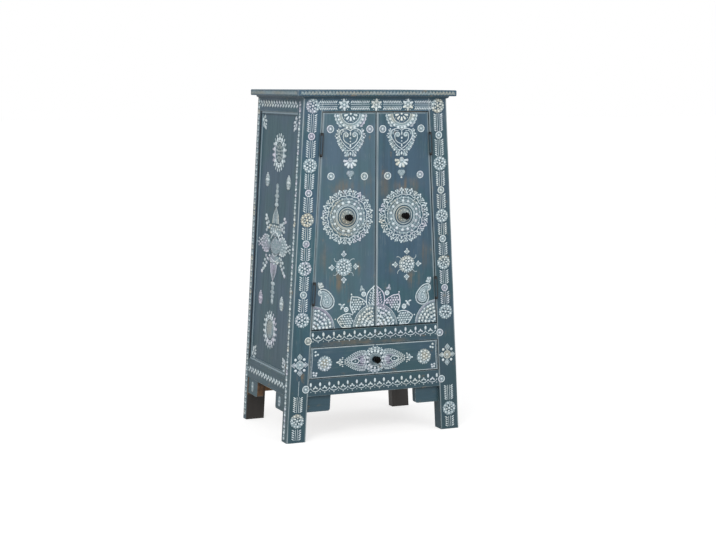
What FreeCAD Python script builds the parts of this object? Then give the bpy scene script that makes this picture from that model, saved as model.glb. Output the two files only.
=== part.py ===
import FreeCAD, Part
import math
import os

# Painted wooden cupboard on four legs, with two inset doors over one inset drawer.
# The sides lean in towards the top; the front and the back stand upright.
# X runs to the right seen from the front, the front faces -Y, Z is up from the floor.
# The origin is on the floor, in the middle of the whole outline with the knobs.

os.makedirs("parts", exist_ok=True)

# Overall size
total_height = 1100.0
floor_width = 604.0
shoulder_width = 486.0
carcase_depth = 412.0

# Top board and the quarter-round bead under it
top_thickness = 19.0
top_side_overhang = 26.0
top_front_overhang = 21.0
top_edge_radius = 3.0
cornice_radius = 7.0

# Posts, which are also the legs
post_width = 63.5
front_post_depth = 46.0
rear_post_depth = 30.0
post_edge_radius = 2.5

# Rails, measured up from the floor: rail, drawer, rail, doors, rail
leg_clearance = 145.0
front_rail_thickness = 25.0
bottom_rail_height = 54.0
drawer_opening_height = 101.0
middle_rail_height = 52.0
top_rail_height = 47.0
side_rail_thickness = 25.0
side_bottom_rail_height = 62.0
side_top_rail_height = 51.0

# Tenons of the rails in the posts
tenon_thickness = 8.0
tenon_shoulder = 9.0
front_tenon_length = 32.0
side_tenon_length = 22.0
rear_tenon_length = 20.0
joint_clearance = 0.2

# Side panels, in grooves, and the flat beads that frame them
panel_recess = 7.5
panel_thickness = 12.0
panel_tongue = 7.0
bead_width = 9.0
bead_thickness = 3.5

# Back boards
back_board_count = 4
back_board_thickness = 10.0
back_board_gap = 0.4

# Corner brackets under the bottom rails
bracket_drop = 53.0
bracket_thickness = 22.0
bracket_corner_radius = 8.0
front_bracket_length = 83.0
front_bracket_recess = 12.0
side_front_bracket_length = 76.0
side_rear_bracket_length = 88.0
side_bracket_recess = 3.0

# Cupboard floor, shelf and shelf cleats
deck_thickness = 15.0
shelf_rise = 338.0
cleat_height = 20.0
cleat_thickness = 15.0

# Doors
door_thickness = 20.0
door_side_gap = 2.5
door_end_gap = 3.0
meeting_gap = 3.0
meeting_bevel = 1.5
door_edge_bevel = 1.5
batten_height = 46.0
batten_thickness = 12.0
batten_setback = 26.0
batten_end_distance = 70.0
batten_bevel = 6.0
stop_height = 15.0
stop_thickness = 13.0
stop_gap = 0.3

# Butt hinges, their middles measured from the door's ends, the pin just in front
hinge_length = 70.0
upper_hinge_drop = 99.0
lower_hinge_rise = 114.0
knuckle_count = 3
knuckle_radius = 5.0
knuckle_gap = 0.4
knuckle_sweep_gap = 0.3
leaf_thickness = 1.8
leaf_depth = 17.0
leaf_gap = 0.3
pin_radius = 2.5
pin_fit = 0.05
pin_forward = 5.2
pin_head_radius = 4.2
pin_head_height = 2.0

# Knobs: cast iron, lobed like a flower, on a threaded stud
knob_radius = 12.0
knob_reach = 28.0
knob_lobe_count = 8
knob_lobe_sides = 5
knob_valley_radius = 10.6
knob_end_radius = 4.6
knob_half_length = 7.2
knob_ring_count = 7
knob_ring_step_degrees = 24.0
knob_button_radius = 2.8
knob_button_rise = 0.8
knob_neck_radius = 4.8
knob_flange_radius = 9.0
knob_flange_thickness = 2.5
stud_radius = 3.0
stud_clearance = 0.2
thread_fit = 0.05
stud_end = 2.0
nut_across_flats = 12.0
nut_thickness = 5.0
door_knob_rise = 350.0
door_knob_from_centre = 97.6

# Drawer
drawer_gap = 2.0
drawer_front_thickness = 20.0
drawer_side_height = 84.0
drawer_side_thickness = 12.0
drawer_back_thickness = 12.0
drawer_back_inset = 14.0
drawer_bottom_thickness = 6.0
drawer_bottom_rise = 8.0
drawer_groove_depth = 4.0
tail_count = 3
tail_length = 12.0
tail_root_share = 0.5
tail_tip_share = 0.72

# Drawer runners with guides, and the kickers above the drawer
runner_width = 27.0
runner_thickness = 20.0
slide_gap = 0.3
guide_width = 11.0
guide_height = 24.0
guide_gap = 0.5
kicker_width = 20.0
kicker_gap = 1.0

# How far a cutting body runs past what it cuts
overrun = 5.0

# Derived places
carcase_height = total_height - top_thickness
side_slope = (floor_width - shoulder_width) / (2 * carcase_height)
lean_degrees = math.degrees(math.atan(side_slope))
front_y = (knob_reach - carcase_depth) / 2
rear_y = front_y + carcase_depth
front_post_back = front_y + front_post_depth
rear_post_front = rear_y - rear_post_depth
back_board_front = rear_y - back_board_thickness
bottom_rail_top = leg_clearance + bottom_rail_height
middle_rail_bottom = bottom_rail_top + drawer_opening_height
middle_rail_top = middle_rail_bottom + middle_rail_height
top_rail_bottom = carcase_height - top_rail_height
side_bottom_rail_top = leg_clearance + side_bottom_rail_height
side_top_rail_bottom = carcase_height - side_top_rail_height
panel_inner = panel_recess + panel_thickness
bracket_bottom = leg_clearance - bracket_drop
drawer_bottom_z = bottom_rail_top + drawer_gap
drawer_side_top = drawer_bottom_z + drawer_side_height
drawer_back_y = rear_post_front - slide_gap
guide_top = drawer_bottom_z + guide_height
pin_y = front_y - pin_forward
door_bottom = middle_rail_top + door_end_gap
door_top = top_rail_bottom - door_end_gap
lower_hinge_height = door_bottom + lower_hinge_rise
upper_hinge_height = door_top - upper_hinge_drop
door_knob_height = door_bottom + door_knob_rise
shelf_height = middle_rail_top + shelf_rise


def vec(x, y, z):
    return FreeCAD.Vector(x, y, z)


def side_line(z):
    """Half width over the outer faces of the posts at a height."""
    return floor_width / 2 - side_slope * z


guide_outer = side_line(guide_top) - post_width - joint_clearance
drawer_half = guide_outer - guide_width - guide_gap


def block(x0, x1, y0, y1, z0, z1):
    return Part.makeBox(x1 - x0, y1 - y0, z1 - z0, vec(x0, y0, z0))


def upright_prism(outline, y0, y1):
    """An outline of (x, z) points, drawn at y0 and pushed back to y1."""
    corners = [vec(x, y0, z) for x, z in outline]
    face = Part.Face(Part.makePolygon(corners + corners[:1]))
    return face.extrude(vec(0, y1 - y0, 0))


def flat_prism(outline, z0, z1):
    """An outline of (x, y) points, drawn at z0 and raised to z1."""
    corners = [vec(x, y, z0) for x, y in outline]
    face = Part.Face(Part.makePolygon(corners + corners[:1]))
    return face.extrude(vec(0, 0, z1 - z0))


def leaning_slab(outer_inset, inner_inset, y0, y1, z0, z1):
    """A slab on the left between two planes parallel to the leaning side."""
    outline = [
        (outer_inset - side_line(z0), z0),
        (inner_inset - side_line(z0), z0),
        (inner_inset - side_line(z1), z1),
        (outer_inset - side_line(z1), z1),
    ]
    return upright_prism(outline, y0, y1)


def across(inset, y0, y1, z0, z1):
    """A board from side to side whose ends lean with the sides."""
    low = side_line(z0) - inset
    high = side_line(z1) - inset
    return upright_prism([(-low, z0), (low, z0), (high, z1), (-high, z1)], y0, y1)


def mirrored(shape):
    return shape.mirror(vec(0, 0, 0), vec(1, 0, 0))


def save(name, *solids):
    shape = solids[0] if len(solids) == 1 else Part.makeCompound(list(solids))
    shape.exportStep(f"parts/{name}.step")


def save_pair(name, *solids):
    """Write the left-hand piece and its mirror image."""
    save("left_" + name, *solids)
    save("right_" + name, *[mirrored(solid) for solid in solids])


def edges_at(shape, *middles):
    """The edges whose middles lie at the given points."""
    found = []
    for edge in shape.Edges:
        if any(edge.CenterOfMass.distanceToPoint(middle) < joint_clearance for middle in middles):
            found.append(edge)
    return found


def front_rail(z0, z1):
    """A front rail with a centred tenon at each end."""
    rail = across(post_width, front_y, front_y + front_rail_thickness, z0, z1)
    return rail.fuse(front_tenon(z0, z1, 0)).removeSplitter()


def front_tenon(z0, z1, clearance):
    """The tenons of a front rail, or with a clearance their mortises."""
    middle_y = front_y + front_rail_thickness / 2
    reach = post_width - front_tenon_length - clearance
    half = tenon_thickness / 2 + clearance
    low = z0 + tenon_shoulder - clearance
    high = z1 - tenon_shoulder + clearance
    return across(reach, middle_y - half, middle_y + half, low, high)


def side_rail(z0, z1):
    """A side rail with tenons and the groove that holds the panel."""
    rail = leaning_slab(0, side_rail_thickness, front_post_back, rear_post_front, z0, z1)
    return rail.fuse(side_tenon(z0, z1, 0)).cut(panel_body(joint_clearance)).removeSplitter()


def side_tenon(z0, z1, clearance):
    """The tenons of a side rail, or with a clearance their mortises."""
    outer = (side_rail_thickness - tenon_thickness) / 2 - clearance
    inner = outer + tenon_thickness + 2 * clearance
    y0 = front_post_back - side_tenon_length - clearance
    y1 = rear_post_front + side_tenon_length + clearance
    low = z0 + tenon_shoulder - clearance
    high = z1 - tenon_shoulder + clearance
    return leaning_slab(outer, inner, y0, y1, low, high)


def rear_rail(z0, z1):
    """A rear rail, set in from the rear by the boards that cover it."""
    rail = across(post_width, rear_post_front, back_board_front, z0, z1)
    return rail.fuse(rear_tenon(z0, z1, 0)).removeSplitter()


def rear_tenon(z0, z1, clearance):
    """The tenons of a rear rail, or with a clearance their mortises."""
    middle_y = (rear_post_front + back_board_front) / 2
    half = tenon_thickness / 2 + clearance
    low = z0 + tenon_shoulder - clearance
    high = z1 - tenon_shoulder + clearance
    reach = post_width - rear_tenon_length - clearance
    return across(reach, middle_y - half, middle_y + half, low, high)


def panel_body(clearance):
    """A side panel with its tongues, or with a clearance the grooves for it."""
    grow = panel_tongue + clearance
    return leaning_slab(
        panel_recess - clearance,
        panel_inner + clearance,
        front_post_back - grow,
        rear_post_front + grow,
        side_bottom_rail_top - grow,
        side_top_rail_bottom + grow,
    )


def post(y0, y1):
    """A plain post with its two outer corners rubbed round."""
    body = leaning_slab(0, post_width, y0, y1, 0, carcase_height)
    middle_z = carcase_height / 2
    middle_x = -side_line(middle_z)
    corners = edges_at(body, vec(middle_x, y0, middle_z), vec(middle_x, y1, middle_z))
    return body.makeFillet(post_edge_radius, corners)


def front_post():
    body = post(front_y, front_post_back)
    body = body.cut(front_tenon(leg_clearance, bottom_rail_top, joint_clearance))
    body = body.cut(front_tenon(middle_rail_bottom, middle_rail_top, joint_clearance))
    body = body.cut(front_tenon(top_rail_bottom, carcase_height, joint_clearance))
    body = body.cut(side_tenon(leg_clearance, side_bottom_rail_top, joint_clearance))
    body = body.cut(side_tenon(side_top_rail_bottom, carcase_height, joint_clearance))
    body = body.cut(panel_body(joint_clearance))
    for height in (lower_hinge_height, upper_hinge_height):
        body = body.cut(at_hinge(leaf_pocket(-1), height))
    return body


def rear_post():
    body = post(rear_post_front, rear_y)
    body = body.cut(rear_tenon(bracket_bottom, side_bottom_rail_top, joint_clearance))
    body = body.cut(rear_tenon(side_top_rail_bottom, carcase_height, joint_clearance))
    body = body.cut(side_tenon(leg_clearance, side_bottom_rail_top, joint_clearance))
    body = body.cut(side_tenon(side_top_rail_bottom, carcase_height, joint_clearance))
    return body.cut(panel_body(joint_clearance))


def top_board():
    half = shoulder_width / 2 + top_side_overhang
    y0 = front_y - top_front_overhang
    board = block(-half, half, y0, rear_y, carcase_height, total_height)
    middles = []
    for z in (carcase_height, total_height):
        middles.append(vec(0, y0, z))
        middles.append(vec(-half, (y0 + rear_y) / 2, z))
        middles.append(vec(half, (y0 + rear_y) / 2, z))
    return board.makeFillet(top_edge_radius, edges_at(board, *middles))


def cornice_round(start, run):
    """A quarter-round rod, its centre line from a start along a run."""
    return Part.makeCylinder(cornice_radius, run.Length, start, run)


def front_cornice():
    """The bead under the top board's front, mitred at both corners."""
    half = shoulder_width / 2
    reach = half + cornice_radius
    low = carcase_height - cornice_radius
    outline = [(-half, front_y), (half, front_y)]
    outline += [(reach, front_y - cornice_radius), (-reach, front_y - cornice_radius)]
    rod = cornice_round(vec(-reach, front_y, carcase_height), vec(2 * reach, 0, 0))
    return rod.common(flat_prism(outline, low, carcase_height))


def side_cornice():
    """The bead under the top board's left end, mitred at the front."""
    half = shoulder_width / 2
    reach = half + cornice_radius
    low = carcase_height - cornice_radius
    outline = [(-half, front_y), (-half, rear_y)]
    outline += [(-reach, rear_y), (-reach, front_y - cornice_radius)]
    start = vec(-half, front_y - cornice_radius, carcase_height)
    rod = cornice_round(start, vec(0, rear_y - start.y, 0))
    bead = rod.common(flat_prism(outline, low, carcase_height))
    return bead.cut(leaning_slab(0, post_width, front_y, rear_y, low, carcase_height))


def panel_beads():
    """Four flat beads on the face of the left side panel."""
    outer = panel_recess - bead_thickness
    y0 = front_post_back
    y1 = rear_post_front
    z0 = side_bottom_rail_top
    z1 = side_top_rail_bottom
    low = z0 + bead_width
    high = z1 - bead_width
    return [
        leaning_slab(outer, panel_recess, y0, y1, z0, low),
        leaning_slab(outer, panel_recess, y0, y1, high, z1),
        leaning_slab(outer, panel_recess, y0, y0 + bead_width, low, high),
        leaning_slab(outer, panel_recess, y1 - bead_width, y1, low, high),
    ]


def back_boards():
    """Upright boards that fan a little, as the opening narrows to the top."""
    low = side_line(leg_clearance) - post_width
    high = side_line(carcase_height) - post_width
    boards = []
    for index in range(back_board_count):
        left_share = 2 * index / back_board_count - 1
        right_share = 2 * (index + 1) / back_board_count - 1
        trim = back_board_gap if index < back_board_count - 1 else 0
        outline = [
            (low * left_share, leg_clearance),
            (low * right_share - trim, leg_clearance),
            (high * right_share - trim, carcase_height),
            (high * left_share, carcase_height),
        ]
        boards.append(upright_prism(outline, back_board_front, rear_y))
    return boards


def front_bracket():
    """The board in the left corner between front leg and bottom rail."""
    y0 = front_y + front_bracket_recess
    y1 = y0 + bracket_thickness
    end = post_width + front_bracket_length
    body = leaning_slab(post_width, end, y0, y1, bracket_bottom, leg_clearance)
    corner = vec(end - side_line(bracket_bottom), (y0 + y1) / 2, bracket_bottom)
    return body.makeFillet(bracket_corner_radius, edges_at(body, corner))


def side_bracket(y0, y1, free_y):
    """A corner board under the left side's bottom rail, rounded at its free end."""
    outer = side_bracket_recess
    inner = outer + bracket_thickness
    body = leaning_slab(outer, inner, y0, y1, bracket_bottom, leg_clearance)
    corner = vec((outer + inner) / 2 - side_line(bracket_bottom), free_y, bracket_bottom)
    return body.makeFillet(bracket_corner_radius, edges_at(body, corner))


def deck(front_edge, top):
    """A board from wall to wall, notched round the posts."""
    bottom = top - deck_thickness
    between_posts = side_line(top) - post_width - joint_clearance
    between_panels = side_line(top) - panel_inner - joint_clearance
    middle = block(-between_posts, between_posts, front_edge, back_board_front, bottom, top)
    y0 = front_post_back + joint_clearance
    y1 = rear_post_front - joint_clearance
    wide = block(-between_panels, between_panels, y0, y1, bottom, top)
    return middle.fuse(wide).removeSplitter()


def shelf_cleat():
    top = shelf_height - deck_thickness
    inner = panel_inner + cleat_thickness
    return leaning_slab(panel_inner, inner, front_post_back, rear_post_front, top - cleat_height, top)


def door_stop():
    """The strip under the top rail that the doors close against."""
    y0 = front_y + door_thickness + stop_gap
    return across(post_width, y0, y0 + stop_thickness, top_rail_bottom - stop_height, top_rail_bottom)


def door_panel():
    """The left door: one slab, its back meeting edge bevelled to clear."""
    z0 = door_bottom
    z1 = door_top
    inset = post_width + door_side_gap
    meet = -meeting_gap / 2
    outline = [(inset - side_line(z0), z0), (meet, z0), (meet, z1), (inset - side_line(z1), z1)]
    back = front_y + door_thickness
    body = upright_prism(outline, front_y, back)
    rim = [edge for edge in body.Edges if edge.BoundBox.YMax < front_y + door_thickness / 2]
    body = body.makeChamfer(door_edge_bevel, rim)
    bevel = [(meet, front_y), (meet + overrun, front_y), (meet + overrun, back), (meet - meeting_bevel, back)]
    body = body.cut(flat_prism(bevel, z0 - overrun, z1 + overrun))
    for height in (lower_hinge_height, upper_hinge_height):
        body = body.cut(at_hinge(leaf_pocket(1), height))
    bore = stud_bore(door_thickness)
    bore.translate(vec(-door_knob_from_centre, front_y, door_knob_height))
    return body.cut(bore)


def door_battens():
    """The two ledges across the back of the left door, bevelled all round."""
    y0 = front_y + door_thickness
    y1 = y0 + batten_thickness
    bottom = door_bottom + batten_end_distance
    top = door_top - batten_end_distance
    return [batten(y0, y1, bottom), batten(y0, y1, top - batten_height)]


def batten(y0, y1, z0):
    z1 = z0 + batten_height
    inset = post_width + door_side_gap + batten_setback
    end = -meeting_gap / 2 - batten_setback
    outline = [(inset - side_line(z0), z0), (end, z0), (end, z1), (inset - side_line(z1), z1)]
    body = upright_prism(outline, y0, y1)
    rim = [edge for edge in body.Edges if edge.BoundBox.YMin > y1 - batten_thickness / 2]
    return body.makeChamfer(batten_bevel, rim)


def at_hinge(shape, height):
    """Lean a hinge piece with the left side and set it on the door's joint line."""
    placed = shape.copy()
    placed.rotate(vec(0, 0, 0), vec(0, 1, 0), lean_degrees)
    joint_x = post_width + door_side_gap / 2 - side_line(height)
    placed.translate(vec(joint_x, pin_y, height))
    return placed


def leaf_plate(side, near, extra):
    """The flat of a leaf beside the pin line; side is 1 for door, -1 for jamb."""
    half = hinge_length / 2 + extra
    x0 = side * near
    x1 = side * (leaf_gap / 2 + leaf_thickness)
    return block(min(x0, x1), max(x0, x1), 0, pin_forward + leaf_depth + extra, -half, half)


def leaf_pocket(side):
    """The recess that lets a leaf into an edge."""
    return leaf_plate(side, 0, joint_clearance)


def hinge_leaf(side, first_knuckle):
    """A leaf with every second knuckle, the first given, bored for the pin."""
    pitch = hinge_length / knuckle_count
    notch = knuckle_radius + knuckle_sweep_gap
    body = leaf_plate(side, leaf_gap / 2, 0)
    for index in range(knuckle_count):
        z0 = index * pitch - hinge_length / 2
        if index % 2 != first_knuckle:
            body = body.cut(block(-notch, notch, -notch, notch, z0, z0 + pitch))
    for index in range(first_knuckle, knuckle_count, 2):
        low_trim = knuckle_gap / 2 if index > 0 else 0
        high_trim = knuckle_gap / 2 if index < knuckle_count - 1 else 0
        z0 = index * pitch - hinge_length / 2 + low_trim
        length = pitch - low_trim - high_trim
        body = body.fuse(Part.makeCylinder(knuckle_radius, length, vec(0, 0, z0)))
    bore = Part.makeCylinder(pin_radius + pin_fit, 2 * hinge_length, vec(0, 0, -hinge_length))
    return body.removeSplitter().cut(bore)


def hinge_pin():
    """The pin with a flat head at each end."""
    half = hinge_length / 2
    heads = []
    for way in (1, -1):
        outward = vec(0, 0, way)
        heads.append(Part.makeCylinder(pin_head_radius, pin_head_height, outward * half, outward))
    body = Part.makeCylinder(pin_radius, hinge_length, vec(0, 0, -half))
    return body.fuse(heads).removeSplitter()


def stud_bore(length):
    """The hole for a knob's stud, from the face at y zero backwards."""
    start = vec(0, -overrun, 0)
    return Part.makeCylinder(stud_radius + stud_clearance, length + 2 * overrun, start, vec(0, 1, 0))


def lobed_ring(radius, y):
    """The corners of a flower outline: equal lobes on arcs, cut into short sides."""
    corners = []
    pitch = 2 * math.pi / knob_lobe_count
    valley = radius * knob_valley_radius / knob_radius
    for index in range(knob_lobe_count):
        places = []
        for reach, share in ((valley, -1 / 2), (radius, 0), (valley, 1 / 2)):
            turn = pitch * (index + share)
            places.append(vec(reach * math.cos(turn), y, reach * math.sin(turn)))
        corners += Part.Arc(*places).toShape().discretize(knob_lobe_sides + 1)[1:]
    return corners


def ring_face(corners):
    return Part.Face(Part.makePolygon(corners + corners[:1]))


def knob_head():
    """The lobed head: rings of one outline, small at both ends, joined by flat facets."""
    middle_y = knob_half_length + knob_button_rise - knob_reach
    rings = []
    for index in range(knob_ring_count):
        turn = math.radians(knob_ring_step_degrees * (index - (knob_ring_count - 1) / 2))
        radius = knob_end_radius + (knob_radius - knob_end_radius) * math.cos(turn)
        rings.append(lobed_ring(radius, middle_y - knob_half_length * math.sin(turn)))
    faces = [ring_face(rings[0]), ring_face(rings[-1])]
    for near, far in zip(rings, rings[1:]):
        for index in range(len(near)):
            faces.append(ring_face([near[index - 1], near[index], far[index], far[index - 1]]))
    return Part.makeSolid(Part.makeShell(faces))


def knob(grip):
    """A knob on the face at y zero, with a stud long enough for what it grips."""
    forward = vec(0, -1, 0)
    neck_length = knob_reach - knob_half_length
    neck = Part.makeCylinder(knob_neck_radius, neck_length, vec(0, 0, 0), forward)
    button = Part.makeCylinder(knob_button_radius, knob_reach - neck_length, forward * neck_length, forward)
    flange = Part.makeCylinder(knob_flange_radius, knob_flange_thickness, vec(0, 0, 0), forward)
    stud = Part.makeCylinder(stud_radius, grip + nut_thickness + stud_end, vec(0, 0, 0), vec(0, 1, 0))
    return knob_head().fuse([neck, button, flange, stud]).removeSplitter()


def knob_nut(grip):
    """The hexagon nut behind what the stud grips."""
    corner_radius = nut_across_flats / math.sqrt(3)
    outline = []
    for index in range(6):
        turn = math.pi * index / 3
        outline.append((corner_radius * math.cos(turn), corner_radius * math.sin(turn)))
    nut = upright_prism(outline, grip, grip + nut_thickness)
    length = grip + nut_thickness + overrun
    hole = Part.makeCylinder(stud_radius + thread_fit, length, vec(0, 0, 0), vec(0, 1, 0))
    return nut.cut(hole)


def moved(shape, x, y, z):
    placed = shape.copy()
    placed.translate(vec(x, y, z))
    return placed


def tails(clearance):
    """Dovetail tails on the front end of the left drawer side, or their sockets."""
    root_y = front_y + drawer_front_thickness
    tip_y = root_y - tail_length - clearance
    pitch = drawer_side_height / tail_count
    x0 = -drawer_half - clearance
    x1 = drawer_side_thickness - drawer_half + clearance
    shapes = []
    for index in range(tail_count):
        middle = drawer_bottom_z + pitch * (index + 1 / 2)
        root = pitch * tail_root_share / 2 + clearance
        tip = pitch * tail_tip_share / 2 + clearance
        corners = [
            vec(x0, root_y, middle - root),
            vec(x0, tip_y, middle - tip),
            vec(x0, tip_y, middle + tip),
            vec(x0, root_y, middle + root),
        ]
        face = Part.Face(Part.makePolygon(corners + corners[:1]))
        shapes.append(face.extrude(vec(x1 - x0, 0, 0)))
    return shapes


def drawer_bottom(clearance):
    """The bottom board, or with a clearance the grooves for it."""
    half = drawer_half - drawer_side_thickness + drawer_groove_depth
    y0 = front_y + drawer_front_thickness - drawer_groove_depth
    z0 = drawer_bottom_z + drawer_bottom_rise
    z1 = z0 + drawer_bottom_thickness
    trim = joint_clearance - clearance
    rear = drawer_back_y - joint_clearance + (overrun if clearance > 0 else 0)
    return block(trim - half, half - trim, y0 + trim, rear, z0 - clearance, z1 + clearance)


def drawer_front():
    z0 = drawer_bottom_z
    z1 = middle_rail_bottom - drawer_gap
    back = front_y + drawer_front_thickness
    body = across(post_width + drawer_gap, front_y, back, z0, z1)
    rim = [edge for edge in body.Edges if edge.BoundBox.YMax < front_y + drawer_front_thickness / 2]
    body = body.makeChamfer(door_edge_bevel, rim)
    sockets = tails(joint_clearance)
    body = body.cut(sockets + [mirrored(socket) for socket in sockets])
    body = body.cut(drawer_bottom(joint_clearance))
    return body.cut(moved(stud_bore(drawer_front_thickness), 0, front_y, drawer_knob_height))


def drawer_side():
    y0 = front_y + drawer_front_thickness
    inner = drawer_side_thickness - drawer_half
    body = block(-drawer_half, inner, y0, drawer_back_y, drawer_bottom_z, drawer_side_top)
    body = body.fuse(tails(0)).removeSplitter()
    body = body.cut(drawer_bottom(joint_clearance))
    return body.cut(drawer_back(joint_clearance))


def drawer_back(clearance):
    """The back board, housed in the sides, or with a clearance its housings."""
    half = drawer_half - drawer_side_thickness + drawer_groove_depth
    y1 = drawer_back_y - drawer_back_inset
    y0 = y1 - drawer_back_thickness
    z0 = drawer_bottom_z + drawer_bottom_rise + drawer_bottom_thickness + joint_clearance
    trim = joint_clearance - clearance
    top = drawer_side_top + (overrun if clearance > 0 else 0)
    return block(trim - half, half - trim, y0 - clearance, y1 + clearance, z0 - clearance, top)


def drawer_runner():
    """The left runner: a ledge under the drawer side with a guide beside it."""
    y0 = front_y + front_rail_thickness
    outer = -guide_outer
    top = drawer_bottom_z - slide_gap
    ledge = block(outer, outer + runner_width, y0, rear_post_front, top - runner_thickness, top)
    guide = block(outer, outer + guide_width, y0, rear_post_front, top, guide_top)
    return ledge.fuse(guide).removeSplitter()


def drawer_kicker():
    """The bearer above the left drawer side, which also carries the cupboard floor."""
    y0 = front_y + front_rail_thickness
    outer = -drawer_half
    bottom = drawer_side_top + kicker_gap
    top = middle_rail_top - deck_thickness
    return block(outer, outer + kicker_width, y0, back_board_front, bottom, top)


drawer_knob_height = (drawer_bottom_z + middle_rail_bottom - drawer_gap) / 2

# Carcase: posts, rails and panels
save_pair("front_post", front_post())
save_pair("rear_post", rear_post())
save("front_bottom_rail", front_rail(leg_clearance, bottom_rail_top))
save("front_middle_rail", front_rail(middle_rail_bottom, middle_rail_top))
save("front_top_rail", front_rail(top_rail_bottom, carcase_height))
save_pair("side_bottom_rail", side_rail(leg_clearance, side_bottom_rail_top))
save_pair("side_top_rail", side_rail(side_top_rail_bottom, carcase_height))
save("rear_bottom_rail", rear_rail(bracket_bottom, side_bottom_rail_top))
save("rear_top_rail", rear_rail(side_top_rail_bottom, carcase_height))
save_pair("side_panel", panel_body(0))
save_pair("panel_beads", *panel_beads())
save("back_boards", *back_boards())
save("top_board", top_board())
save("cornice_beads", front_cornice(), side_cornice(), mirrored(side_cornice()))

# Corner brackets
front_free_end = front_post_back + side_front_bracket_length
rear_free_end = rear_post_front - side_rear_bracket_length
save_pair("front_bracket", front_bracket())
save_pair("side_front_bracket", side_bracket(front_post_back, front_free_end, front_free_end))
save_pair("side_rear_bracket", side_bracket(rear_free_end, rear_post_front, rear_free_end))

# Inside of the cupboard
save("cupboard_floor", deck(front_y + front_rail_thickness, middle_rail_top))
save("cupboard_shelf", deck(front_post_back + joint_clearance, shelf_height))
save("shelf_cleats", shelf_cleat(), mirrored(shelf_cleat()))
save("door_stop", door_stop())

# Doors
save_pair("door_panel", door_panel())
save_pair("door_battens", *door_battens())

# Hinges
hinge_heights = (lower_hinge_height, upper_hinge_height)
save_pair("jamb_leaves", *[at_hinge(hinge_leaf(-1, 0), height) for height in hinge_heights])
save_pair("door_leaves", *[at_hinge(hinge_leaf(1, 1), height) for height in hinge_heights])
save_pair("hinge_pins", *[at_hinge(hinge_pin(), height) for height in hinge_heights])

# Door knobs
door_knob_place = (-door_knob_from_centre, front_y, door_knob_height)
save_pair("door_knob", moved(knob(door_thickness), *door_knob_place))
save_pair("door_knob_nut", moved(knob_nut(door_thickness), *door_knob_place))

# Drawer
save("drawer_front", drawer_front())
save("drawer_left_side", drawer_side())
save("drawer_right_side", mirrored(drawer_side()))
save("drawer_back", drawer_back(0))
save("drawer_bottom", drawer_bottom(0))
save("drawer_knob", moved(knob(drawer_front_thickness), 0, front_y, drawer_knob_height))
save("drawer_knob_nut", moved(knob_nut(drawer_front_thickness), 0, front_y, drawer_knob_height))
save_pair("drawer_runner", drawer_runner())
save_pair("drawer_kicker", drawer_kicker())
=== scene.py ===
import bpy
import math
import random
from mathutils import Matrix, Vector


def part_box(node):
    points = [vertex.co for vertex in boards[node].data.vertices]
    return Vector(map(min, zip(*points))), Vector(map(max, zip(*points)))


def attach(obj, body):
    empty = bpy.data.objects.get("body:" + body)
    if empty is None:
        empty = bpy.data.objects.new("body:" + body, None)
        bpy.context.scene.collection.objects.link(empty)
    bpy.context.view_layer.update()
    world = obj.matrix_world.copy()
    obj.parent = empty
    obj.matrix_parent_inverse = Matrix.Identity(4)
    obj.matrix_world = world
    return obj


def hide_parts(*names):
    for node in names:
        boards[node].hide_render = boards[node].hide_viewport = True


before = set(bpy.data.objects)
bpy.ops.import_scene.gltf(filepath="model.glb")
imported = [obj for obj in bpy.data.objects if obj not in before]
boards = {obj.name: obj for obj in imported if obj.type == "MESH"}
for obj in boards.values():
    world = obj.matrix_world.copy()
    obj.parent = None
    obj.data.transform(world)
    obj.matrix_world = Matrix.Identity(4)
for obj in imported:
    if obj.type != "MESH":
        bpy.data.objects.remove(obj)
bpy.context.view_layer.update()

# Painted frame: two thick front posts, two thinner rear posts, and the rails tenoned into them.
# Pale hardwood, brushed with teal milk paint, waxed, and rubbed back along the edges and in patches.
# The grain of each piece runs along its length.


def shade(red, green, blue):
    """A colour picked on a screen, as the light it stands for."""
    parts = [v / 255 for v in (red, green, blue)]
    return tuple(v / 12.92 if v <= 0.04045 else ((v + 0.055) / 1.055) ** 2.4 for v in parts) + (1.0,)


def plug(tree, sockets, values):
    """Fills each socket with a value or with another node's output."""
    for socket, value in zip(sockets, values):
        if isinstance(value, bpy.types.NodeSocket):
            tree.links.new(value, socket)
        else:
            socket.default_value = value


def node(tree, kind, options=(), **sockets):
    """One node, with its settings and the inputs that are given by name."""
    made = tree.nodes.new(kind)
    for key, value in dict(options).items():
        setattr(made, key, value)
    plug(tree, [made.inputs[key.replace("_", " ")] for key in sockets], sockets.values())
    return made


def noise(tree, place, scale, detail=3.0):
    return node(tree, "ShaderNodeTexNoise", Vector=place, Scale=scale, Detail=detail).outputs[0]


def between(tree, value, low, high, first=0.0, last=1.0):
    """Runs smoothly from first to last as the value goes from low to high."""
    options = {"interpolation_type": "SMOOTHSTEP"}
    sockets = {"Value": value, "From Min": low, "From Max": high, "To Min": first, "To Max": last}
    return node(tree, "ShaderNodeMapRange", options, **sockets).outputs[0]


def sums(tree, kind, *values):
    made = node(tree, "ShaderNodeMath", {"operation": kind})
    plug(tree, made.inputs, values)
    return made.outputs[0]


def vectors(tree, kind, *values):
    """A sum on vectors. Two kinds give a number, the others a vector."""
    made = node(tree, "ShaderNodeVectorMath", {"operation": kind})
    plug(tree, made.inputs, values)
    return made.outputs["Value" if kind in ("DOT_PRODUCT", "LENGTH") else "Vector"]


def blend(tree, share, under, over):
    """The colour over laid on the colour under by a share."""
    made = node(tree, "ShaderNodeMix", {"data_type": "RGBA"})
    plug(tree, (made.inputs[0], made.inputs[6], made.inputs[7]), (share, under, over))
    return made.outputs[2]


def along_grain(tree, place, grain, across, lengthways):
    scale = [lengthways if axis == grain else across for axis in "XYZ"]
    return node(tree, "ShaderNodeMapping", Vector=place, Scale=scale).outputs[0]


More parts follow.
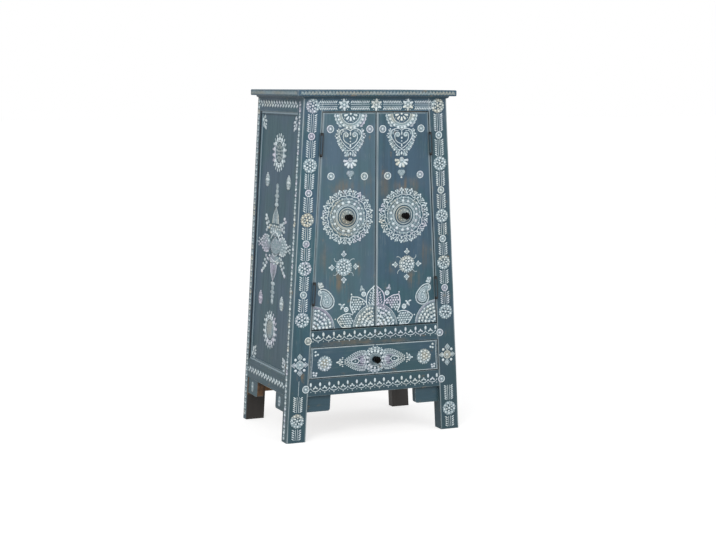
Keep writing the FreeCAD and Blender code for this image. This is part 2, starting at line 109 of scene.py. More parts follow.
def masked(tree, normal, axis, low, high):
    """How far a face looks along an axis."""
    return between(tree, vectors(tree, "DOT_PRODUCT", normal, axis), low, high)


teal, teal_blue = shade(36, 79, 91), shade(47, 79, 100)
teal_streak, teal_low_shade = shade(34, 58, 70), shade(30, 60, 66)
pale_rub_and_highlight, worn_to_wood = shade(158, 178, 188), shade(118, 102, 78)


def old_paint(name, grain, strips=(), patches=(), wear=1.0, rim=0.75, tone_and_shade=0.0, pale=(), ends=(),
              shaded_away=False, tips=(), leg=0):
    """Rubbed teal paint, darker towards the floor as painted shade. Strips are rubbed pale along a straight
    edge, patches are worn to the wood. Tone and shade darkens the paint, as a darker tone on some boards
    and as painted shade on others, and below 0 fades it as painted light. Pale gives the ways of faces
    made pale, partly as rubbed paint and partly as painted highlight; ends the heights below and above
    which all is rubbed. Shaded away puts painted shade on the side away from the front left, and black
    at the heights of its tips. A leg keeps raw wood low on its hidden faces, its foot dark, and painted
    shade on its hidden faces higher up."""
    material = bpy.data.materials.new(name)
    material.use_nodes = True
    tree = material.node_tree
    shader = tree.nodes["Principled BSDF"]
    place = node(tree, "ShaderNodeTexCoord").outputs["Object"]
    flat = node(tree, "ShaderNodeNewGeometry").outputs["Normal"]
    clouds = noise(tree, place, 8.0, 4.0)
    coarse = noise(tree, place, 26.0, 4.0)
    fibres = noise(tree, along_grain(tree, place, grain, 420.0, 12.0), 1.0, 3.0)
    brush = noise(tree, along_grain(tree, place, grain, 95.0, 4.0), 1.0, 4.0)
    colour = blend(tree, between(tree, clouds, 0.38, 0.62), teal, teal_blue)
    colour = blend(tree, between(tree, brush, 0.42, 0.70, 0.0, 0.45), colour, teal_streak)
    lights = sums(tree, "MULTIPLY", between(tree, fibres, 0.50, 0.68), between(tree, coarse, 0.45, 0.62))
    colour = blend(tree, sums(tree, "MULTIPLY", lights, 0.42 * wear), colour, shade(108, 126, 134))
    level = node(tree, "ShaderNodeSeparateXYZ", Vector=place).outputs["Z"]
    # Painted shade: the paint is blended darker towards the floor.
    colour = blend(tree, between(tree, level, 0.10, 0.48, 0.60, 0.0), colour, teal_low_shade)
    # Tone and shade: a darker tone on some boards, painted shade on others; below 0, painted light that
    # fades the paint.
    colour = blend(tree, abs(tone_and_shade), colour, shade(10, 42, 50) if tone_and_shade > 0 else shade(150, 165, 172))
    # Pale faces by their direction: partly rubbed paint, partly painted highlight.
    for axis, share in pale:
        facing = sums(tree, "MULTIPLY", masked(tree, flat, axis, 0.6, 0.9), share)
        colour = blend(tree, facing, colour, pale_rub_and_highlight)
    if ends:
        worn = sums(tree, "MAXIMUM", between(tree, level, ends[0], ends[0] + 0.001, 0.75, 0.0),
                    between(tree, level, ends[1] - 0.001, ends[1], 0.0, 0.75))
        colour = blend(tree, worn, colour, pale_rub_and_highlight)
    bare = sums(tree, "MULTIPLY", between(tree, coarse, 0.60, 0.72), between(tree, brush, 0.48, 0.60))
    bare = sums(tree, "MULTIPLY", bare, 0.8 * wear)
    for centre, reach, share in patches:
        away = vectors(tree, "DIVIDE", vectors(tree, "SUBTRACT", place, centre), reach)
        edge = between(tree, vectors(tree, "LENGTH", away), 0.1, 1.0, share, 0.0)
        rough = sums(tree, "ADD", sums(tree, "MULTIPLY", brush, 0.7), sums(tree, "MULTIPLY", coarse, 0.5))
        bare = sums(tree, "MAXIMUM", bare, sums(tree, "MULTIPLY", edge, between(tree, rough, 0.45, 0.75)))
    colour = blend(tree, bare, colour, worn_to_wood)
    for normal, start, width, share in strips:
        depth = sums(tree, "ADD", vectors(tree, "DOT_PRODUCT", place, normal), start)
        rubbed = between(tree, depth, 0.55 * width, width, share, 0.0)
        rubbed = sums(tree, "MULTIPLY", rubbed, between(tree, brush, 0.32, 0.55, 0.25, 1.0))
        rubbed = sums(tree, "MULTIPLY", rubbed, masked(tree, flat, (0.0, -1.0, 0.0), 0.5, 0.8))
        colour = blend(tree, rubbed, colour, shade(150, 163, 168))
    round_edge = node(tree, "ShaderNodeBevel", {"samples": 4}, Radius=0.0032).outputs[0]
    edge = between(tree, vectors(tree, "DOT_PRODUCT", round_edge, flat), 0.80, 0.985, 1.0, 0.0)
    edge = sums(tree, "MULTIPLY", edge, between(tree, coarse, 0.36, 0.54, 0.35 * rim, rim))
    colour = blend(tree, edge, colour, shade(158, 166, 166))
    # Painted shade on faces turned away from the front left.
    if shaded_away:
        away = between(tree, masked(tree, flat, (0.6, 0.8, 0.0), -0.86, -0.66), 0.0, 1.0, 0.35, 1.0)
        colour = blend(tree, away, colour, shade(8, 12, 16))
    for tip in tips:
        apart = sums(tree, "ABSOLUTE", sums(tree, "SUBTRACT", level, tip))
        near = between(tree, apart, 0.0045, 0.006, 1.0, 0.0)
        colour = blend(tree, near, colour, shade(8, 10, 12))
    if leg:
        hidden = sums(tree, "MAXIMUM", masked(tree, flat, (0.0, -1.0, 0.0), 0.4, 0.7),
                      masked(tree, flat, (leg, 0.0, 0.0), 0.4, 0.7))
        low = between(tree, level, 0.142, 0.150, 1.0, 0.0)
        wood = blend(tree, between(tree, brush, 0.40, 0.62), shade(104, 76, 48), shade(72, 52, 36))
        colour = blend(tree, sums(tree, "MULTIPLY", hidden, low), colour, wood)
        # Painted shade: higher up, a leg's hidden faces, the recess returns among them, are painted near
        # black.
        high = sums(tree, "SUBTRACT", 1.0, low)
        colour = blend(tree, sums(tree, "MULTIPLY", hidden, high), colour, shade(16, 27, 36))
        uneven = sums(tree, "ADD", level, sums(tree, "MULTIPLY", brush, 0.012))
        foot = between(tree, uneven, 0.086, 0.096, 1.0, 0.0)
        colour = blend(tree, sums(tree, "MULTIPLY", hidden, foot), colour, shade(31, 26, 22))
    tree.links.new(colour, shader.inputs["Base Color"])
    tree.links.new(between(tree, brush, 0.30, 0.70, 0.52, 0.60), shader.inputs["Roughness"])
    height = sums(tree, "ADD", sums(tree, "MULTIPLY", fibres, 0.6), sums(tree, "MULTIPLY", brush, 0.9))
    bump = node(tree, "ShaderNodeBump", Height=height, Strength=0.35, Distance=0.0008)
    tree.links.new(bump.outputs[0], shader.inputs["Normal"])
    return material


def dress(material, *names):
    for name in names:
        for slot in boards[name].material_slots:
            slot.link = "OBJECT"
            slot.material = material


floor_half, post_width, post_height, lean_in = 302.0, 63.5, 1081.0, 59.0
lean = lean_in / post_height
front_y = -0.192
paint_across = old_paint("teal paint, grain across the front", "X")
paint_back_to_front = old_paint("teal paint, grain front to back", "Y", tone_and_shade=0.1)
for side, way in (("left", 1.0), ("right", -1.0)):
    inner_line = ((-way, 0.0, lean), (post_width - floor_half) / 1000, 0.0045, 0.6)
    outer_line = ((way, 0.0, -lean), floor_half / 1000, 0.0050, 0.9)
    # The right front post's paint is darkened as painted shade; the left one keeps the plain paint.
    tone_and_shade = 0.0 if way > 0 else 0.34
    post_paint = old_paint("teal paint, " + side + " front post", "Z", [inner_line, outer_line],
                           rim=1.0, tone_and_shade=tone_and_shade)
    dress(post_paint, side + "_front_post")
    # A rear post keeps raw wood low on its hidden faces and painted shade higher up.
    dress(old_paint("teal paint, " + side + " rear post", "Z", rim=1.0, leg=way), side + "_rear_post")
dress(paint_across, "front_top_rail")
# The lower rail's paint is darkened as painted shade near the floor.
dress(old_paint("teal paint, lower rail", "X", tone_and_shade=0.2), "front_bottom_rail")
handled = [
    ((-0.090, front_y, 0.308), (0.120, 0.05, 0.012), 0.9),
    ((0.060, front_y, 0.306), (0.080, 0.05, 0.010), 0.7),
]
# The rail over the drawer is darkened as painted shade below the doors.
dress(old_paint("teal paint, rail over the drawer", "X", patches=handled, tone_and_shade=0.3), "front_middle_rail")
dress(paint_back_to_front, "left_side_top_rail", "right_side_top_rail")
dress(paint_back_to_front, "left_side_bottom_rail", "right_side_bottom_rail")

# Side panels: one wide board in grooves on each side, set in behind the face of the posts.
# Four flat painted beads, nailed on, frame each panel.

dress(old_paint("teal paint, side panels", "Z", wear=0.2, tone_and_shade=0.10), "left_side_panel", "right_side_panel")
# Bead paint: darkened as painted shade in the recess; faces turned front, back and up are painted pale as
# highlight.
lit = [((0.0, -1.0, 0.0), 0.9), ((0.0, 1.0, 0.0), 0.6), ((0.0, 0.0, 1.0), 0.8)]
bead_low, bead_high = (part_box("left_panel_beads")[end][2] for end in (0, 1))
bead_ends = (bead_low + 0.0055, bead_high - 0.0055)
dress(old_paint("teal paint, beads, rubbed and painted with light and shade", "Z", rim=0.3, tone_and_shade=0.3, pale=lit, ends=bead_ends),
      "left_panel_beads", "right_panel_beads")

# Corner brackets: plain painted boards glued into the corners between legs and bottom rails,
# two at the front and two on each side. The rear ones show raw wood on their hidden faces.

dress(paint_across, "left_front_bracket", "right_front_bracket")
dress(paint_back_to_front, "left_side_front_bracket", "right_side_front_bracket")
for side, way in (("left", 1.0), ("right", -1.0)):
    dress(old_paint("teal paint, " + side + " rear bracket", "Y", leg=way), side + "_side_rear_bracket")

# Top: one thick board with softened edges, over a quarter-round bead at the front and the sides.
# Its edge is rubbed down to a greyish wood colour by use.

dress(old_paint("teal paint, worn top", "X", wear=1.6), "top_board")
# The cornice paint is darkened as painted shade under the top board's overhang.
dress(old_paint("teal paint, cornice", "X", rim=1.0, tone_and_shade=0.35), "cornice_beads")

# Doors: one board each, hung on the posts. The paint is rubbed pale beside the hinges, along the
# top and along the meeting edges, and brown wood shows through round the small flower.

for side, way in (("left", 1.0), ("right", -1.0)):
    rubbed = [
        ((way, 0.0, -lean), 0.2360, 0.0070, 0.60),
        ((0.0, 0.0, -1.0), 1.0310, 0.0055, 0.50),
        ((-way, 0.0, 0.0), -0.0012, 0.0080, 0.10 if way > 0 else 0.85),
    ]
    worn = [
        ((-0.134 * way, front_y, 0.502), (0.030, 0.05, 0.048), 0.95),
        ((-0.062 * way, front_y, 0.540), (0.020, 0.05, 0.034), 0.75),
        ((-0.110 * way, front_y, 0.800), (0.070, 0.05, 0.036), 0.6),
        ((-0.030 * way, front_y, 0.800), (0.030, 0.05, 0.070), 0.35),
        ((-0.170 * way, front_y, 0.580), (0.030, 0.05, 0.060), 0.35),
    ]
    # Painted light fades the left door's paint and painted shade darkens the right door's.
    tone_and_shade = -0.08 if way > 0 else 0.1
    # Edge faces turned left, seen in the narrow gaps, are pale: partly rubbed paint, partly painted
    # highlight.
    edges = [((-1.0, 0.0, 0.0), 0.9)]
    door_paint = old_paint("teal paint, " + side + " door", "Z", rubbed, worn,
                           wear=0.8, tone_and_shade=tone_and_shade, pale=edges)
    dress(door_paint, side + "_door_panel")

# Drawer front: one hardwood board, its grain across, dovetailed to the drawer's sides.
# The paint on its face is rubbed in a rim all round.

rim = [
    ((0.0, 0.0, 1.0), -0.2010, 0.0050, 0.5),
    ((0.0, 0.0, -1.0), 0.2980, 0.0055, 0.7),
    ((1.0, 0.0, -lean), 0.2365, 0.0055, 0.7),
    ((-1.0, 0.0, -lean), 0.2365, 0.0055, 0.5),
]
dress(old_paint("teal paint, drawer front", "X", rim, tone_and_shade=0.08), "drawer_front")

# Unpainted wood: the back, the inside of the cupboard and the drawer's box are sawn boards,
# oiled once and left. Pieces that carry others run front to back.


def bare_wood(name, grain):
    """Sawn orange-brown wood with growth rings along its length."""
    material = bpy.data.materials.new(name)
    material.use_nodes = True
    tree = material.node_tree
    shader = tree.nodes["Principled BSDF"]
    place = node(tree, "ShaderNodeTexCoord").outputs["Object"]
    board = along_grain(tree, place, grain, 38.0, 1.6)
    wander = noise(tree, along_grain(tree, place, grain, 9.0, 0.9), 1.0, 3.0)
    rings = sums(tree, "SINE", sums(tree, "MULTIPLY", noise(tree, board, 1.0, 2.0), 42.0))
    rings = sums(tree, "ADD", rings, sums(tree, "MULTIPLY", wander, 0.8))
    fibres = noise(tree, along_grain(tree, place, grain, 520.0, 14.0), 1.0, 3.0)
    colour = blend(tree, between(tree, rings, -1.0, 1.6), shade(166, 122, 80), shade(128, 86, 52))
    colour = blend(tree, between(tree, fibres, 0.45, 0.70, 0.0, 0.5), colour, shade(100, 68, 42))
    colour = blend(tree, between(tree, wander, 0.40, 0.65, 0.0, 0.4), colour, shade(184, 146, 104))
    tree.links.new(colour, shader.inputs["Base Color"])
    tree.links.new(between(tree, fibres, 0.3, 0.7, 0.55, 0.8), shader.inputs["Roughness"])
    bump = node(tree, "ShaderNodeBump", Height=fibres, Strength=0.3, Distance=0.0006)
    tree.links.new(bump.outputs[0], shader.inputs["Normal"])
    return material


dress(bare_wood("sawn wood, upright", "Z"), "back_boards")
dress(bare_wood("sawn wood, across", "X"), "rear_top_rail", "rear_bottom_rail", "cupboard_floor",
      "cupboard_shelf", "door_stop", "drawer_back", "drawer_bottom", "left_door_battens",
      "right_door_battens")
dress(bare_wood("sawn wood, front to back", "Y"), "shelf_cleats", "drawer_left_side", "drawer_right_side",
      "left_drawer_runner", "right_drawer_runner", "left_drawer_kicker", "right_drawer_kicker")

# Hinges: steel butt hinges, screwed on and painted over with the doors, their pin heads left black.
# Painted shade darkens the hinge paint and lies on the barrels' sides away from the front left.


def dull_iron(name, colour, rust, rough, gloss=0.5, metal=0.6):
    """Black iron or steel with a little rust and polish where hands rub it."""
    material = bpy.data.materials.new(name)
    material.use_nodes = True
    tree = material.node_tree
    shader = tree.nodes["Principled BSDF"]
    place = node(tree, "ShaderNodeTexCoord").outputs["Object"]
    grit = noise(tree, place, 900.0, 4.0)
    spots = noise(tree, place, 160.0, 3.0)
    mixed = blend(tree, between(tree, spots, 0.55, 0.72, 0.0, 0.6), colour, rust)
    tree.links.new(mixed, shader.inputs["Base Color"])
    tree.links.new(between(tree, spots, 0.35, 0.65, rough, rough + 0.25), shader.inputs["Roughness"])
    shader.inputs["Metallic"].default_value = metal
    shader.inputs["Specular IOR Level"].default_value = gloss
    bump = node(tree, "ShaderNodeBump", Height=grit, Strength=0.3, Distance=0.0004)
    tree.links.new(bump.outputs[0], shader.inputs["Normal"])
    return material


hinge_heights, hinge_half = (0.932, 0.469), 0.0335
hinge_ends = [height + reach for height in hinge_heights for reach in (-hinge_half, hinge_half)]
# Hinge paint: darkened as painted shade, shaded on the side away from the front left; black pin heads.
dress(old_paint("teal paint on the hinges", "Z", wear=0.3, rim=0.1, tone_and_shade=0.2, shaded_away=True, tips=hinge_ends),
      "left_jamb_leaves", "right_jamb_leaves", "left_door_leaves", "right_door_leaves")
black_iron = dull_iron("black iron", shade(4, 4, 5), shade(12, 10, 9), 0.16, 0.3, 0.85)
dress(black_iron, "left_hinge_pins", "right_hinge_pins")
dress(dull_iron("grey steel", shade(96, 96, 94), shade(92, 62, 42), 0.40),
      "left_door_knob_nut", "right_door_knob_nut", "drawer_knob_nut")

# Knobs: cast iron, a fat flower of eight lobes on a short neck and a round rose, blackened.
# A threaded stud from the back of each goes through the wood to a nut.

lobe_count = 8


def turned(profile, around, lobes=0.0):
    """Rings of points from (distance from the face, radius, share of the lobes) round the knob's axis."""
    points, faces = [], []
    for reach, radius, share in profile:
        for step in range(around):
            angle = math.tau * step / around
            pinch = 1.0 - lobes * share * (1.0 - abs(math.cos(angle * lobe_count / 2)))
            points.append((radius * pinch * math.cos(angle), -reach, radius * pinch * math.sin(angle)))
    for band in range(len(profile) - 1):
        for step in range(around):
            after = (step + 1) % around
            low, high = band * around, (band + 1) * around
            faces.append((low + step, low + after, high + after, high + step))
    faces.append(tuple(range(around))[::-1])
    faces.append(tuple(range(len(points) - around, len(points))))
    return points, faces


knob_profile = [(-0.0275, 0.0030, 0), (0.0, 0.0030, 0), (0.0, 0.0087, 0), (0.0010, 0.0090, 0),
                (0.0020, 0.0087, 0), (0.0025, 0.0078, 0), (0.0030, 0.0056, 0), (0.0060, 0.0048, 0),
                (0.0105, 0.0048, 0), (0.0130, 0.0056, 0.3)]
for step in range(11):
    bow = math.radians(-64 + 13.2 * step)
    knob_profile.append((0.0200 + 0.0073 * math.sin(bow), 0.0046 + 0.0074 * math.cos(bow), 1.0))
knob_profile += [(0.0271, 0.0040, 0.4), (0.0269, 0.0028, 0), (0.0275, 0.0026, 0), (0.0279, 0.0018, 0),
                 (0.0280, 0.0008, 0)]
knob_places = {
    "left_door_knob": ("left_door", -0.0976, 0.705),
    "right_door_knob": ("right_door", 0.0976, 0.705),
    "drawer_knob": ("drawer", 0.0, 0.2495),
}
for name, (body, x, z) in knob_places.items():
    points, faces = turned(knob_profile, 64, 0.16)
    mesh = bpy.data.meshes.new(name)
    mesh.from_pydata([(px + x, py + front_y, pz + z) for px, py, pz in points], [], faces)
    mesh.materials.append(black_iron)
    mesh.shade_smooth()
    knob = bpy.data.objects.new("lobed_" + name, mesh)
    bpy.context.scene.collection.objects.link(knob)
    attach(knob, body)
    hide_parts(name)

# Raised white ornament: a thick white slip trailed from a cone straight onto the paint.
# A trail dries as a half-round cord, a touch of the cone as a low round dot, a pull as a petal.
# Each motif is drawn flat in millimetres, then laid on its board.


class Slip:
    """What brush and cone draw on one board: thin washes, then trails along edges and dabs at points.
    Load tells how thick the slip lies: none for a wash, one for a full white dot. Warmth tints it,
    from lilac at minus one to cream at one."""

    def __init__(self, seed):
        self.chance = random.Random(seed)
        self.points, self.links, self.widths, self.sizes, self.turns, self.loads = [], [], [], [], [], []
        self.side, self.warm, self.warmths, self.low = 1, 0.0, [], -math.inf
        self.at(0, 0)

    def at(self, x, y, turn=0.0, size=1.0):
        """Moves the hand to a place on the board, turned in degrees."""
        self.x, self.y, self.turn, self.size = x, y, math.radians(turn), size

    def put(self, x, y, width, size, turn, load):
        """Marks one point of a trail, or one dab, above the board's low edge where one is set."""
        cos, sin = math.cos(self.turn) * self.size, math.sin(self.turn) * self.size
        reach = max(width / 2, math.hypot(size[0] * math.sin(turn), size[1] * math.cos(turn)))
        height = max(self.y + sin * x + cos * y, self.low + reach)
        self.points.append((self.side * (self.x + cos * x - sin * y), height, 0))
        self.widths.append(width)
        self.sizes.append(size)
        self.turns.append(turn if self.side > 0 else math.pi - turn)
        self.loads.append(load)
        self.warmths.append(self.warm)

    def trail(self, points, width=1.8, closed=False, load=0.8):
        first = len(self.points)
        load *= self.chance.uniform(0.88, 1.0)
        for x, y in points:
            self.put(x, y, 1.25 * width, (0, 0, 0), 0.0, load)
        last = len(self.points) - 1
        self.links += [(index, index + 1) for index in range(first, last)]
        if closed:
            self.links.append((last, first))

    def dab(self, x, y, length, width=None, turn=0.0, load=1.0):
        wide = width or length
        load *= self.chance.uniform(0.85, 1.0)
        length, wide = (v * self.size * self.chance.uniform(0.93, 1.07) for v in (length, wide))
        size = (length / 2, wide / 2, 0.3 + load * (0.6 + 0.1 * min(length, wide)))
        self.put(x, y, 0.0, size, self.turn + math.radians(turn), load)

    def wash(self, x, y, length, width=None, turn=0.0):
        self.dab(x, y, length, width, turn, 0.0)


def flowing(points, steps=5):
    """A smooth line through a few points."""
    last = len(points) - 1
    result = []
    for index in range(last):
        near = [points[min(max(index + shift, 0), last)] for shift in (-1, 0, 1, 2)]
        for step in range(steps):
            t = step / steps
            weights = (-t + 2 * t**2 - t**3, 2 - 5 * t**2 + 3 * t**3, t + 4 * t**2 - 3 * t**3, t**3 - t**2)
            result.append(tuple(sum(w * p[axis] for w, p in zip(weights, near)) / 2 for axis in (0, 1)))
    return result + [points[-1]]


def spread(count, start, end):
    """Middle angles of equal steps, in degrees."""
    return [start + (end - start) * (index + 0.5) / count for index in range(count)]


def polar(radius, angle):
    return radius * math.cos(math.radians(angle)), radius * math.sin(math.radians(angle))


def ring(slip, radius, width=1.7, start=0, end=360, lobes=0, depth=0.0, load=0.8):
    """A circle or an arc of it, plain or with outward scallops."""
    count = max(10, round(radius * (end - start) / 360 * 2.4), round(lobes * 6))
    points = []
    for index in range(count + (end - start < 360)):
        share = index / count
        bulge = depth * abs(math.sin(math.pi * lobes * share)) if lobes else 0
        points.append(polar(radius + bulge, start + share * (end - start)))
    slip.trail(points, width, end - start >= 360, load)


def beads(slip, radius, count, size, start=0, end=360, load=1.0, loose=1.0):
    step = (end - start) / count
    for angle in spread(count, start, end):
        out, aside, more = (loose * slip.chance.uniform(-1, 1) for _ in range(3))
        place = polar(radius * (1 + 0.02 * out), angle + 0.1 * aside * step)
        slip.dab(*place, size * (1 + 0.1 * more), load=load)


def lace(slip, inner, outer, count, start=0, end=360, size=6.5):
    """Short loose strokes that fill the ground between bolder rings."""
    for index in range(count):
        slip.warm = slip.chance.uniform(-0.7, 0.5)
        radius = slip.chance.uniform(inner, outer)
        angle = start + (end - start) * (index + slip.chance.random()) / count
        slip.dab(*polar(radius, angle), size * slip.chance.uniform(0.7, 1.3), 0.5 * size,
                 slip.chance.uniform(0, 180), slip.chance.uniform(0.15, 0.9))
    slip.warm = 0.0


def petals(slip, inner, outer, count, width, load=1.0):
    for angle in spread(count, 0, 360):
        slip.dab(*polar((inner + outer) / 2, angle), outer - inner, width, angle, load)


def fill(slip, outline, pitch, length, width, turn):
    """Dabs in staggered rows all over a closed shape, each on a wash."""
    across, upward = zip(*outline)
    row, y = 0, min(upward) + pitch / 2
    while y < max(upward):
        x = min(across) + pitch * (0.3 + 0.5 * (row % 2))
        while x < max(across):
            crossings = 0
            for (xa, ya), (xb, yb) in zip(outline, outline[1:] + outline[:1]):
                crossings += (ya > y) != (yb > y) and x < xa + (xb - xa) * (y - ya) / (yb - ya)
            if crossings % 2:
                slip.wash(x, y, 1.1 * pitch, pitch)
                slip.dab(x + slip.chance.uniform(-0.7, 0.7), y, length, width,
                         turn + slip.chance.uniform(-20, 20), slip.chance.uniform(0.6, 1.0))
            x += pitch
        row, y = row + 1, y + 0.86 * pitch


def trefoil(slip, radius, angle, size):
    """Three dots at the end of a short stem that points away from the middle."""
    slip.dab(*polar(radius, angle), size * 1.3, size, angle)
    for way in (-1, 1):
        slip.dab(*polar(radius - size * 0.9, angle + way * math.degrees(size / radius)), size, load=0.85)


def ring_dot(slip, x, y, radius):
    slip.at(x, y)
    slip.warm = slip.chance.uniform(-0.5, 0.4)
    slip.wash(0, 0, radius * 1.5)
    ring(slip, radius - 1.5, 2.7, load=0.9)
    beads(slip, radius * 0.56, 6, 2.4, load=0.6)
    slip.dab(0, 0, radius * 0.60)
    slip.warm = 0.0


def rosette(slip, x, y, radius):
    """The large flower of the posts: thick dots round a middle and along a washed, scalloped rim."""
    count = 9
    slip.at(x, y, slip.chance.uniform(-25, 25), radius / 24)
    slip.warm = slip.chance.uniform(-0.3, 0.8)
    slip.wash(0, 0, 13)
    ring(slip, 18.0, 7.6, load=0.0)
    petals(slip, 14, 24.6, count, 13.0, load=0.0)
    slip.dab(0, 0, 7.4)
    beads(slip, 10.0, 6, 6.6)
    beads(slip, 18.4, count, 7.6, load=0.95)
    beads(slip, 14.4, count, 3.4, 20, 380, 0.7)
    beads(slip, 22.6, count, 3.8, 20, 380, 0.7)
    slip.warm = 0.0


def six_petals(slip, x, y):
    slip.at(x, y, slip.chance.uniform(-5, 5))
    slip.warm = slip.chance.uniform(-0.2, 0.5)
    slip.wash(0, 0, 26)
    slip.dab(0, 0, 8.0)
    petals(slip, 6, 20.5, 6, 8.2)
    beads(slip, 11.5, 6, 4.4, 30, 390, 0.8)
    beads(slip, 18.0, 6, 3.6, 30, 390, 0.6)
    slip.warm = 0.0


def ticks(slip, start, end, offset=11.4, pitch=6.4):
    """Two rows of slanting strokes with two fine lines between, from one place to another."""
    length = math.dist(start, end)
    across = math.degrees(math.atan2(end[1] - start[1], end[0] - start[0]))
    slip.at(*start, across)
    for line in (-0.3 * offset, 0.3 * offset):
        slip.trail([(length * share / 6, line) for share in range(7)], 1.5, load=0.65)
    count = max(2, round(length / pitch))
    for index in range(count):
        for way in (-1, 1):
            load = slip.chance.uniform(0.6, 1.0)
            slip.dab((index + 0.5) * length / count, way * offset, 11.2, 4.1, way * 58, load)


def swags(slip, x0, x1, y, count, top, drop=8.5):
    """A row of hanging scallops, a leaf in each, a drop between each two, dots below."""
    pitch = (x1 - x0) / count
    for index in range(count + 1):
        joint = x0 + index * pitch
        slip.at(joint, y)
        slip.dab(0, top - y, 15, 8.0, 90, 0.8)
        slip.dab(0, 0.5, 4.6, load=0.6)
        slip.dab(0, -drop - 1.5, 3.8, load=0.6)
        if index == count:
            break
        hang = [(pitch * t / 8, -drop * math.sin(math.pi * t / 8) ** 0.8) for t in range(9)]
        slip.trail(hang, 2.0, load=0.65)
        for way in (-1, 1):
            slip.dab(pitch / 2 + way * 5.2, 1.0, 9.0, 5.4, way * -42, 0.7)
        slip.dab(pitch / 2, 5.0, 9, 6.2, 90, 0.8)
        slip.dab(pitch / 2, -drop - 4.5, 4.4, load=0.6)


def star(slip, x, y):
    """A disc with four dots round it and four pointed petals."""
    slip.at(x, y)
    slip.warm = 0.5
    slip.wash(0, 0, 28)
    ring(slip, 12.2, 2.2, load=0.65)
    beads(slip, 8.2, 7, 3.6, load=0.55)
    slip.warm = 0.0
    slip.dab(0, 0, 9.0)
    for angle in (0, 90, 180, 270):
        slip.at(x, y, angle)
        tip = 28 if angle % 180 == 0 else 35
        slip.wash(tip - 9, 0, 17, 13)
        slip.trail([(14, 0), (tip - 10, 8.0), (tip, 0), (tip - 10, -8.0)], 1.9, True, 0.75)
        slip.dab(tip - 10, 0, 9.5, 6.5, load=0.5)
    for across in (-14.5, 14.5):
        for up in (-17, 17):
            slip.at(x + across, y + up)
            slip.dab(0, 0, 10.0)


